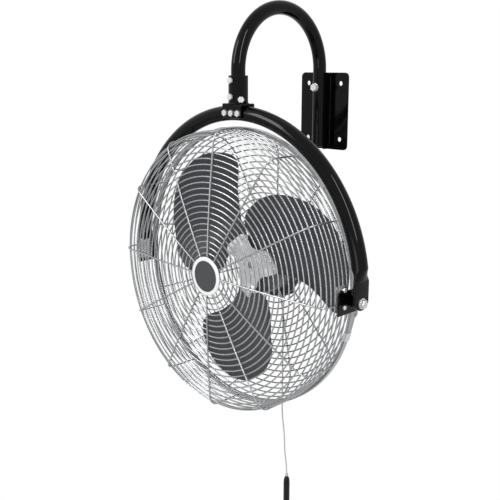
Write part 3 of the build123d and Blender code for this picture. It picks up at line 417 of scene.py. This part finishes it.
RING_WIRE_SIDES, RIB_WIRE_SIDES = 10, 12


def front_profile():
    """A front rib from the badge to the joint ring: distance out, and distance ahead of the pivots."""
    out = GUARD_RADIUS - sizes().rib_wire
    inner_dome = FRONT_DOME - FRONT_SHOULDER
    across = out - FRONT_SHOULDER
    corner = Vector((across, FRONT_APEX - FRONT_DOME + math.sqrt(inner_dome**2 - across**2)))
    turn = math.asin(corner.x / inner_dome)
    start = math.asin(RIB_START / FRONT_DOME)
    points = []
    for step in range(DOME_STEPS + 1):
        angle = start + (turn - start) * step / DOME_STEPS
        points.append((FRONT_DOME * math.sin(angle), FRONT_APEX - FRONT_DOME * (1 - math.cos(angle))))
    for step in range(1, SHOULDER_STEPS + 1):
        angle = turn + (math.pi / 2 - turn) * step / SHOULDER_STEPS
        points.append(
            (corner.x + FRONT_SHOULDER * math.sin(angle), corner.y + FRONT_SHOULDER * math.cos(angle))
        )
    points.append((out, RIM_FRONT))
    return points


def rear_profile():
    """A rear rib from the motor plate, round its bend, to the joint ring."""
    start, corner, end = (Vector(place) * MM for place in REAR_CORNERS)
    back, onward = (start - corner).normalized(), (end - corner).normalized()
    half_angle = back.angle(onward) / 2
    centre = corner + (back + onward).normalized() * REAR_BEND / math.sin(half_angle)
    reach = REAR_BEND / math.tan(half_angle)
    first, last = corner + back * reach - centre, corner + onward * reach - centre
    points = [start]
    for step in range(BEND_STEPS + 1):
        points.append(centre + first.lerp(last, step / BEND_STEPS).normalized() * REAR_BEND)
    points.append(end + onward * (RIM_BACK - end.y) / onward.y)
    return [tuple(point) for point in points]


def ring_stations(tree, source, start, pitch, count, offset):
    """Points spaced along a rib's profile and moved off it to its inner side."""
    span = add_node(tree, "ShaderNodeMath", {"operation": "MULTIPLY_ADD"}, i0=count, i1=pitch, i2=start)
    last = add_node(tree, "ShaderNodeMath", {"operation": "SUBTRACT"}, i0=(span, 0), i1=pitch)
    kept = add_node(tree, "GeometryNodeTrimCurve", {"mode": "LENGTH"}, Curve=source)
    # inputs 4 and 5 are the trim's start and end as lengths
    tree.links.new(start[0].outputs[start[1]], kept.inputs[4])
    tree.links.new(last.outputs[0], kept.inputs[5])
    stations = add_node(
        tree, "GeometryNodeCurveToPoints", {"mode": "COUNT"}, Curve=(kept, 0), Count=count
    )
    inward = add_node(
        tree,
        "ShaderNodeVectorMath",
        {"operation": "CROSS_PRODUCT"},
        i0=(0.0, 0.0, 1.0),
        i1=(stations, "Tangent"),
    )
    shift = add_node(
        tree, "ShaderNodeVectorMath", {"operation": "SCALE"}, i0=(inward, 0), Scale=offset
    )
    return add_node(tree, "GeometryNodeSetPosition", Geometry=(stations, "Points"), Offset=(shift, 0))


def ring_tree():
    """Rings of wire round the fan's axis, one at each station of a rib's profile."""
    tree = new_tree("Guard rings")
    keys = {
        "start": group_input(tree, "Start", "NodeSocketFloat"),
        "pitch": group_input(tree, "Pitch", "NodeSocketFloat", 0.01),
        "count": group_input(tree, "Count", "NodeSocketInt", 20, 2),
        "offset": group_input(tree, "Offset from rib", "NodeSocketFloat"),
        "wire": group_input(tree, "Wire radius", "NodeSocketFloat", 0.001),
        "centre": group_input(tree, "Centre", "NodeSocketVector"),
        "finish": group_input(tree, "Finish", "NodeSocketMaterial"),
    }
    given = tree.nodes.new("NodeGroupInput")
    stations = ring_stations(
        tree,
        (given, 0),
        (given, "Start"),
        (given, "Pitch"),
        (given, "Count"),
        (given, "Offset from rib"),
    )
    circle = add_node(tree, "GeometryNodeCurvePrimitiveCircle", Resolution=RING_STEPS, Radius=1.0)
    upright = add_node(
        tree, "GeometryNodeTransform", Geometry=(circle, 0), Rotation=(math.pi / 2, 0.0, 0.0)
    )
    place = add_node(tree, "GeometryNodeInputPosition")
    parts = add_node(tree, "ShaderNodeSeparateXYZ", Vector=(place, 0))
    spread = add_node(tree, "ShaderNodeCombineXYZ", X=(parts, "X"), Y=1.0, Z=(parts, "X"))
    rings = add_node(
        tree,
        "GeometryNodeInstanceOnPoints",
        Points=(stations, 0),
        Instance=(upright, 0),
        Scale=(spread, 0),
    )
    back = add_node(tree, "ShaderNodeMath", {"operation": "MULTIPLY"}, i0=(parts, "X"), i1=-1.0)
    to_axis = add_node(tree, "ShaderNodeCombineXYZ", X=(back, 0))
    centred = add_node(
        tree,
        "GeometryNodeTranslateInstances",
        Instances=(rings, 0),
        Translation=(to_axis, 0),
        Local_Space=False,
    )
    real = add_node(tree, "GeometryNodeRealizeInstances", Geometry=(centred, 0))
    even = add_node(tree, "GeometryNodeSetCurveRadius", Curve=(real, 0), Radius=1.0)
    section = add_node(
        tree,
        "GeometryNodeCurvePrimitiveCircle",
        Resolution=RING_WIRE_SIDES,
        Radius=(given, "Wire radius"),
    )
    wires = add_node(tree, "GeometryNodeCurveToMesh", Curve=(even, 0), Profile_Curve=(section, 0))
    placed = add_node(tree, "GeometryNodeTransform", Geometry=(wires, 0), Translation=(given, "Centre"))
    smooth = add_node(tree, "GeometryNodeSetShadeSmooth", Geometry=(placed, 0))
    final = add_node(tree, "GeometryNodeSetMaterial", Geometry=(smooth, 0), Material=(given, "Finish"))
    add_node(tree, "NodeGroupOutput", Geometry=(final, 0))
    return tree, keys


def rib_tree():
    """Ribs of wire set round the fan's axis, with a weld where each ring crosses them."""
    tree = new_tree("Guard ribs")
    keys = {
        "start": group_input(tree, "Start", "NodeSocketFloat"),
        "pitch": group_input(tree, "Pitch", "NodeSocketFloat", 0.01),
        "rings": group_input(tree, "Rings", "NodeSocketInt", 20, 2),
        "offset": group_input(tree, "Offset to weld", "NodeSocketFloat"),
        "weld": group_input(tree, "Weld radius", "NodeSocketFloat", 0.001),
        "wire": group_input(tree, "Wire radius", "NodeSocketFloat", 0.0015),
        "count": group_input(tree, "Ribs", "NodeSocketInt", 12, 1),
        "phase": group_input(tree, "First angle", "NodeSocketFloat"),
        "centre": group_input(tree, "Centre", "NodeSocketVector"),
        "finish": group_input(tree, "Finish", "NodeSocketMaterial"),
    }
    given = tree.nodes.new("NodeGroupInput")
    section = add_node(
        tree,
        "GeometryNodeCurvePrimitiveCircle",
        Resolution=RIB_WIRE_SIDES,
        Radius=(given, "Wire radius"),
    )
    rib = add_node(
        tree, "GeometryNodeCurveToMesh", Curve=(given, 0), Profile_Curve=(section, 0), Fill_Caps=True
    )
    stations = ring_stations(
        tree, (given, 0), (given, "Start"), (given, "Pitch"), (given, "Rings"), (given, "Offset to weld")
    )
    nugget = add_node(
        tree, "GeometryNodeMeshUVSphere", Segments=8, Rings=5, Radius=(given, "Weld radius")
    )
    nuggets = add_node(
        tree, "GeometryNodeInstanceOnPoints", Points=(stations, 0), Instance=(nugget, 0)
    )
    one = add_node(tree, "GeometryNodeJoinGeometry")
    tree.links.new(rib.outputs[0], one.inputs[0])
    tree.links.new(nuggets.outputs[0], one.inputs[0])
    places = add_node(
        tree, "GeometryNodeMeshLine", Count=(given, "Ribs"), Offset=(0.0, 0.0, 0.0)
    )
    number = add_node(tree, "GeometryNodeInputIndex")
    step = add_node(
        tree, "ShaderNodeMath", {"operation": "DIVIDE"}, i0=math.tau, i1=(given, "Ribs")
    )
    angle = add_node(
        tree,
        "ShaderNodeMath",
        {"operation": "MULTIPLY_ADD"},
        i0=(number, 0),
        i1=(step, 0),
        i2=(given, "First angle"),
    )
    clockwise = add_node(tree, "ShaderNodeMath", {"operation": "MULTIPLY"}, i0=(angle, 0), i1=-1.0)
    turn = add_node(tree, "ShaderNodeCombineXYZ", Y=(clockwise, 0))
    ribs = add_node(
        tree, "GeometryNodeInstanceOnPoints", Points=(places, 0), Instance=(one, 0), Rotation=(turn, 0)
    )
    real = add_node(tree, "GeometryNodeRealizeInstances", Geometry=(ribs, 0))
    placed = add_node(tree, "GeometryNodeTransform", Geometry=(real, 0), Translation=(given, "Centre"))
    smooth = add_node(tree, "GeometryNodeSetShadeSmooth", Geometry=(placed, 0))
    final = add_node(tree, "GeometryNodeSetMaterial", Geometry=(smooth, 0), Material=(given, "Finish"))
    add_node(tree, "NodeGroupOutput", Geometry=(final, 0))
    return tree, keys


# ---------------------------------------------------------------- the studio
SKY_COLOUR = (0.9, 0.9, 0.9, 1.0)
SKY_STRENGTH = 0.5
FLOOR_HEIGHT = -1.25
FLOOR_REACH = 6.0
LAMP_AIM = (0, -0.2, -0.25)
LAMPS = (                   # name, place, size and power in watts
    ("key", (-1.5, -2.4, 1.3), (0.8, 1.6), 48),
    ("strip", (1.9, -1.2, 1.2), (0.3, 1.8), 34),
    ("fill", (0.6, -2.8, -0.6), (1.2, 0.8), 10),
)


def white_when_seen(tree, shader, glow_kind, target):
    """Show white to the camera, in mirrors and through glass, and the surface's own light elsewhere."""
    path = add_node(tree, "ShaderNodeLightPath")
    through = add_node(
        tree,
        "ShaderNodeMath",
        {"operation": "MAXIMUM"},
        i0=(path, "Is Glossy Ray"),
        i1=(path, "Is Transmission Ray"),
    )
    seen = add_node(
        tree, "ShaderNodeMath", {"operation": "MAXIMUM"}, i0=(path, "Is Camera Ray"), i1=(through, 0)
    )
    glow = add_node(tree, glow_kind, Color=(1.0, 1.0, 1.0, 1.0), Strength=1.0)
    both = add_node(tree, "ShaderNodeMixShader", i0=(seen, 0), i1=(shader, 0), i2=(glow, 0))
    tree.links.new(both.outputs[0], target)


def white_world(scene):
    """An even pale sky that reads as white behind the object."""
    world = bpy.data.worlds.new("Studio air")
    world.use_nodes = True
    scene.world = world
    tree = world.node_tree
    sky = next(n for n in tree.nodes if n.type == "BACKGROUND")
    sky.inputs["Color"].default_value = SKY_COLOUR
    sky.inputs["Strength"].default_value = SKY_STRENGTH
    out = next(n for n in tree.nodes if n.type == "OUTPUT_WORLD")
    white_when_seen(tree, sky, "ShaderNodeBackground", out.inputs["Surface"])


def pale_floor():
    """A wide pale floor well below the hanging fan."""
    build = bmesh.new()
    bmesh.ops.create_grid(build, x_segments=8, y_segments=8, size=FLOOR_REACH)
    mesh = bpy.data.meshes.new("floor")
    build.to_mesh(mesh)
    build.free()
    mesh.transform(Matrix.Translation((0, 0, FLOOR_HEIGHT)))
    made, tree, shader = start_material("Matt white paper")
    shader.inputs["Base Color"].default_value = linear("#f4f4f4")
    shader.inputs["Roughness"].default_value = 0.9
    out = next(n for n in tree.nodes if n.type == "OUTPUT_MATERIAL")
    white_when_seen(tree, shader, "ShaderNodeEmission", out.inputs["Surface"])
    mesh.materials.append(made)
    floor = bpy.data.objects.new("floor", mesh)
    bpy.context.scene.collection.objects.link(floor)


def soft_lights():
    """Three soft boxes: a key from the upper left, a long strip on the right and a fill."""
    for name, place, size, power in LAMPS:
        lamp = bpy.data.lights.new(name, "AREA")
        lamp.shape = "RECTANGLE"
        lamp.size, lamp.size_y = size
        lamp.energy = power
        made = bpy.data.objects.new(name, lamp)
        made.location = place
        aim = Vector(LAMP_AIM) - Vector(place)
        made.rotation_euler = aim.to_track_quat("-Z", "Y").to_euler()
        bpy.context.scene.collection.objects.link(made)


def product_camera(scene):
    """The photograph's viewpoint: from the fan's right and a little above."""
    azimuth, elevation = math.radians(44.43), math.radians(13.33)
    distance = 1541.44 * MM
    target = Vector((-65.31, -144.0, -269.18)) * MM
    focal_pixels, image_pixels = 776.46, 500
    back = Vector(
        (
            math.sin(azimuth) * math.cos(elevation),
            -math.cos(azimuth) * math.cos(elevation),
            math.sin(elevation),
        )
    )
    lens = bpy.data.cameras.new("camera")
    lens.sensor_width = 36.0
    lens.lens = focal_pixels / image_pixels * lens.sensor_width
    camera = bpy.data.objects.new("camera", lens)
    camera.location = target + back * distance
    camera.rotation_euler = back.to_track_quat("Z", "Y").to_euler()
    scene.collection.objects.link(camera)
    scene.camera = camera


# ---------------------------------------------------------------- the cord
CORD_ROUTE = [
    (0, -0.116, -0.362),
    (0, -0.1165, -0.563),
    (0, -0.1166, -0.610),
    (0, -0.1086, -0.656),
    (0, -0.1072, -0.700),
    (0, -0.1004, -0.732),
    (0, -0.100, -0.7585),       # on through the bead and into the pull
]


def cord_curve(material):
    """The pull cord as one smooth open spline with the route's points as its control points."""
    curve = bpy.data.curves.new("pull_cord_braid", "CURVE")
    curve.dimensions = "3D"
    curve.bevel_depth = sizes().cord_radius
    curve.bevel_resolution = 4
    curve.resolution_u = 24
    curve.use_fill_caps = True
    spline = curve.splines.new("NURBS")
    spline.points.add(len(CORD_ROUTE) - 1)
    for place, point in zip(spline.points, CORD_ROUTE):
        place.co = (*point, 1)
    spline.order_u = 3
    spline.use_endpoint_u = True
    curve.materials.append(material)
    made = bpy.data.objects.new("pull_cord_braid", curve)
    bpy.context.scene.collection.objects.link(made)
    return made


# ---------------------------------------------------------------- weld beads
PLATE_POOL_MM, SLEEVE_POOL_MM = 1.3, 1.5    # radius of a weld pool
POOL_SPACING = 0.55                         # pool to pool, as a share of the radius
WELD_MARGIN = 6 * MM                        # how far a bead stops short of the channel's ends
SEAM_STEPS = 72


def bead_tree():
    """A ripple of overlapping weld pools along a seed curve."""
    tree = new_tree("Weld bead")
    keys = {
        "pool": group_input(tree, "Pool radius", "NodeSocketFloat", 0.002),
        "step": group_input(tree, "Pool spacing", "NodeSocketFloat", 0.001),
        "finish": group_input(tree, "Finish", "NodeSocketMaterial"),
    }
    given = tree.nodes.new("NodeGroupInput")
    stations = add_node(
        tree,
        "GeometryNodeCurveToPoints",
        {"mode": "LENGTH"},
        Curve=(given, 0),
        Length=(given, "Pool spacing"),
    )
    pool = add_node(
        tree, "GeometryNodeMeshUVSphere", Segments=12, Rings=8, Radius=(given, "Pool radius")
    )
    size = add_node(
        tree, "FunctionNodeRandomValue", {"data_type": "FLOAT"}, i2=0.86, i3=1.0
    )
    pools = add_node(
        tree,
        "GeometryNodeInstanceOnPoints",
        Points=(stations, "Points"),
        Instance=(pool, 0),
        Scale=(size, 1),
    )
    real = add_node(tree, "GeometryNodeRealizeInstances", Geometry=(pools, 0))
    smooth = add_node(tree, "GeometryNodeSetShadeSmooth", Geometry=(real, 0))
    final = add_node(tree, "GeometryNodeSetMaterial", Geometry=(smooth, 0), Material=(given, "Finish"))
    add_node(tree, "NodeGroupOutput", Geometry=(final, 0))
    return tree, keys


def weld_bead(name, points, pool_mm, body, material):
    """A weld bead along points in the frame, under the same paint as the parts that it joins."""
    tree, keys = bead_tree()
    values = {"pool": pool_mm * MM, "step": pool_mm * POOL_SPACING * MM, "finish": material}
    made = grow(
        route_curve(name + "_line", points),
        tree,
        {keys[key]: value for key, value in values.items()},
        name,
    )
    return finish_piece(made, body, [])


def round_seam(centre, radius, height):
    """Points of a level circle."""
    turns = [math.tau * step / SEAM_STEPS for step in range(SEAM_STEPS + 1)]
    return [
        (centre[0] + radius * math.cos(turn), centre[1] + radius * math.sin(turn), height)
        for turn in turns
    ]


# ---------------------------------------------------------------- operators
PAINTED = ["wall_plate", "arm_channel", "arm_tube"]
YOKE_PAINTED = ["yoke_tube", "yoke_saddle", "swivel_sleeve"]


def finish_nodes(nodes, material, angle=32):
    """Smooth and finish several CAD nodes alike."""
    return [smooth_copy(node, material, angle) for node in nodes]


class FAN_OT_cord(bpy.types.Operator):
    """Hang the braided pull cord with its bead and its bullet shaped pull"""

    bl_idname = "fan.cord"
    bl_label = "Pull cord"

    def execute(self, context):
        pull = moulded_plastic("Moulded ABS, black", finishes().plastic, PLASTIC_SHADE)
        pale = matt_plastic("Moulded acetal, pale", "#c0c0c0", "#b0b0b0")
        bead = smooth_copy("cord_bead", pale)
        knob = smooth_copy("cord_knob", pull, 40)
        braid = cord_curve(braided_cord(finishes().cord))
        finish_piece(braid, "pull", ["pull_cord"])
        return {"FINISHED"}


class FAN_OT_arm(bpy.types.Operator):
    """Paint the wall plate, its channel and the bent arm"""

    bl_idname = "fan.arm"
    bl_label = "Wall plate and arm"

    def execute(self, context):
        paint = black_powder_coat(finishes().black)
        zinc = zinc_plate(finishes().zinc)
        finish_nodes(PAINTED, paint)
        plug = moulded_plastic("Moulded plugs, black", finishes().plastic, PLASTIC_SHADE)
        finish_nodes(["arm_foot_plug", "arm_end_plug"], plug)
        finish_nodes(["arm_bolt_washer", "arm_bolt"], zinc)
        low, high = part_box("arm_channel")
        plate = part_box("wall_plate")[0].y
        for side, across in (("left", low.x), ("right", high.x)):
            line = [(across, plate, low.z + WELD_MARGIN), (across, plate, high.z - WELD_MARGIN)]
            weld_bead(f"plate_weld_{side}", line, PLATE_POOL_MM, "arm", paint)
        return {"FINISHED"}


class FAN_OT_yoke(bpy.types.Operator):
    """Paint the swivel and the half ring yoke, with the weld under the sleeve"""

    bl_idname = "fan.yoke"
    bl_label = "Swivel and yoke"

    def execute(self, context):
        paint = black_powder_coat(finishes().black)
        zinc = zinc_plate(finishes().zinc)
        finish_nodes(YOKE_PAINTED, paint)
        finish_nodes(["clamp_screws", "thrust_washer", "saddle_bolts", "saddle_nuts"], zinc)
        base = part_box("swivel_sleeve")[0].z
        seam = round_seam((0, -ARM_REACH), SLEEVE_RADIUS, base)
        weld_bead("sleeve_weld", seam, SLEEVE_POOL_MM, "yoke", paint)
        return {"FINISHED"}


class FAN_OT_front_guard(bpy.types.Operator):
    """Grow the front basket: rings of plated wire on welded ribs"""

    bl_idname = "fan.front_guard"
    bl_label = "Front guard"

    def execute(self, context):
        grow_basket(
            "front",
            front_profile(),
            {**FRONT_RINGS, "pitch": sizes().ring_pitch},
            1,
            math.radians(RIB_PHASE),
            (["front_guard_rings", "guard_side_rings"], ["front_guard_ribs"]),
        )
        return {"FINISHED"}


class FAN_OT_rear_guard(bpy.types.Operator):
    """Grow the rear basket behind the blades"""

    bl_idname = "fan.rear_guard"
    bl_label = "Rear guard"

    def execute(self, context):
        grow_basket(
            "rear",
            rear_profile(),
            {**REAR_RINGS, "pitch": sizes().rear_ring_pitch},
            -1,
            math.radians(REAR_RIB_PHASE),
            (["rear_guard_rings"], ["rear_guard_ribs"]),
        )
        return {"FINISHED"}


def grow_basket(side, profile, spacing, inner, phase, replaced):
    """Grow the rings and the ribs of one basket from its rib's profile."""
    wire = bright_wire(finishes().wire)
    centre = (FAN_CENTRE.x, -ARM_REACH, FAN_CENTRE.z)
    ring_radius, rib_radius = sizes().ring_wire, sizes().rib_wire
    seed = [(radius, -ahead, 0.0) for radius, ahead in profile]

    tree, keys = ring_tree()
    values = {
        "start": spacing["start"],
        "pitch": spacing["pitch"],
        "count": spacing["count"],
        "offset": inner * (ring_radius + rib_radius - WELD_SINK),
        "wire": ring_radius,
        "centre": centre,
        "finish": wire,
    }
    rings = grow(
        route_curve(f"{side}_ring_line", seed),
        tree,
        {keys[name]: value for name, value in values.items()},
        f"{side}_basket_rings",
    )
    finish_piece(rings, "head", replaced[0])

    tree, keys = rib_tree()
    values = {
        "start": spacing["start"],
        "pitch": spacing["pitch"],
        "rings": spacing["count"],
        "offset": inner * rib_radius,
        "weld": ring_radius,
        "wire": rib_radius,
        "count": RIB_COUNT,
        "phase": phase,
        "centre": centre,
        "finish": wire,
    }
    ribs = grow(
        route_curve(f"{side}_rib_line", seed),
        tree,
        {keys[name]: value for name, value in values.items()},
        f"{side}_basket_ribs",
    )
    finish_piece(ribs, "head", replaced[1])


class FAN_OT_guard_fittings(bpy.types.Operator):
    """Finish the rim wires, the joint ring, its clips and the badge"""

    bl_idname = "fan.guard_fittings"
    bl_label = "Joint ring and badge"

    def execute(self, context):
        wire = bright_wire(finishes().wire)
        enamel = stoved_enamel("Stoved enamel, badge backing", finishes().enamel, ENAMEL_SHADE)
        finish_nodes(["front_rim", "rear_rim", "rim_channel"], wire, 60)
        smooth_copy("badge_backing", enamel)
        smooth_copy("guard_clips", zinc_plate(finishes().zinc))
        face = stoved_enamel("Stoved enamel, dark badge", finishes().badge, "#35363a")
        smooth_copy("badge_plate", face)
        trim = pale_stamping("Pale lacquered rim", finishes().trim, "#e0e0e0")
        smooth_copy("badge_ring", trim, 40)
        return {"FINISHED"}


class FAN_OT_pivots(bpy.types.Operator):
    """Finish the side brackets and the pivot bolts"""

    bl_idname = "fan.pivots"
    bl_label = "Side brackets"

    def execute(self, context):
        smooth_copy("side_brackets", black_powder_coat(finishes().black))
        plated = ["clamp_plates", "bracket_screws", "bracket_nuts"]
        plated += ["pivot_spacers", "pivot_washers", "pivot_bolts"]
        finish_nodes(plated, zinc_plate(finishes().zinc))
        return {"FINISHED"}


class FAN_OT_motor(bpy.types.Operator):
    """Finish the motor, its mounting plates and what is inside it"""

    bl_idname = "fan.motor"
    bl_label = "Motor"

    def execute(self, context):
        enamel = stoved_enamel("Stoved enamel, motor grey", finishes().enamel, ENAMEL_SHADE)
        shell = ["motor_front_bell", "motor_rear_bell", "motor_band", "motor_plate", "motor_flange"]
        finish_nodes(shell, enamel)
        finish_nodes(["motor_screws", "motor_nuts"], zinc_plate(finishes().zinc))
        steel = brushed_steel("Electrical steel and bearing steel", finishes().steel, STEEL_SHADE)
        finish_nodes(["stator_core", "front_bearing", "rear_bearing"], steel)
        smooth_copy("windings", enamelled_copper(finishes().copper))
        return {"FINISHED"}


class FAN_OT_rotor(bpy.types.Operator):
    """Finish the blades, the spider that carries them and the shaft"""

    bl_idname = "fan.rotor"
    bl_label = "Blades and spider"

    def execute(self, context):
        finish_nodes(["blade_1", "blade_2", "blade_3"], blade_sheet(finishes().blade), 40)
        spider = pale_stamping("Pressed steel spider", finishes().spider, "#c6c7c8")
        smooth_copy("hub_spider", spider, 40)
        steel = brushed_steel("Turned shaft steel", finishes().steel, STEEL_SHADE)
        finish_nodes(["motor_shaft", "rotor_core", "hub"], steel)
        rivets = ["hub_rivets", "blade_rivets", "hub_set_screw"]
        finish_nodes(rivets, zinc_plate(finishes().zinc))
        return {"FINISHED"}


class FAN_OT_switch(bpy.types.Operator):
    """Finish the pull switch under the motor"""

    bl_idname = "fan.switch"
    bl_label = "Pull switch"

    def execute(self, context):
        case = moulded_plastic("Moulded switch box", finishes().plastic, PLASTIC_SHADE)
        smooth_copy("switch_box", case)
        smooth_copy("switch_nipple", zinc_plate(finishes().zinc))
        steel = brushed_steel("Turned plunger", finishes().steel, STEEL_SHADE)
        smooth_copy("pull_plunger", steel)
        return {"FINISHED"}


class FAN_OT_stage(bpy.types.Operator):
    """Lay the pale floor and set the soft lights and the camera"""

    bl_idname = "fan.stage"
    bl_label = "Studio"

    def execute(self, context):
        context.scene.view_settings.view_transform = "Standard"
        white_world(context.scene)
        pale_floor()
        soft_lights()
        product_camera(context.scene)
        return {"FINISHED"}


OPERATORS = (
    FAN_OT_stage,
    FAN_OT_cord,
    FAN_OT_arm,
    FAN_OT_yoke,
    FAN_OT_front_guard,
    FAN_OT_rear_guard,
    FAN_OT_guard_fittings,
    FAN_OT_pivots,
    FAN_OT_motor,
    FAN_OT_rotor,
    FAN_OT_switch,
)


class FAN_PT_panel(bpy.types.Panel):
    """Lists the fan's sizes, colours and pieces"""

    bl_idname = "FAN_PT_panel"
    bl_label = "Wall Mounted Fan"
    bl_space_type = "VIEW_3D"
    bl_region_type = "UI"
    bl_category = "Wall Fan"

    def draw(self, context):
        for group in (context.scene.fan_sizes, context.scene.fan_finishes):
            for name in group.__annotations__:
                self.layout.prop(group, name)
        for kind in OPERATORS:
            self.layout.operator(kind.bl_idname)


CLASSES = (FanFinishes, FanSizes, *OPERATORS, FAN_PT_panel)


def register():
    """Make the fan's classes and its two groups of settings known."""
    for kind in CLASSES:
        bpy.utils.register_class(kind)
    bpy.types.Scene.fan_finishes = bpy.props.PointerProperty(type=FanFinishes)
    bpy.types.Scene.fan_sizes = bpy.props.PointerProperty(type=FanSizes)


def unregister():
    """Take back what register did."""
    del bpy.types.Scene.fan_sizes
    del bpy.types.Scene.fan_finishes
    for kind in reversed(CLASSES):
        bpy.utils.unregister_class(kind)


def main():
    """Build every piece in order."""
    register()
    for kind in OPERATORS:
        step = kind.bl_idname.split(".")[1]
        if getattr(bpy.ops.fan, step)() != {"FINISHED"}:
            raise RuntimeError(f"{kind.bl_label} did not finish")


if __name__ == "__main__":
    main()
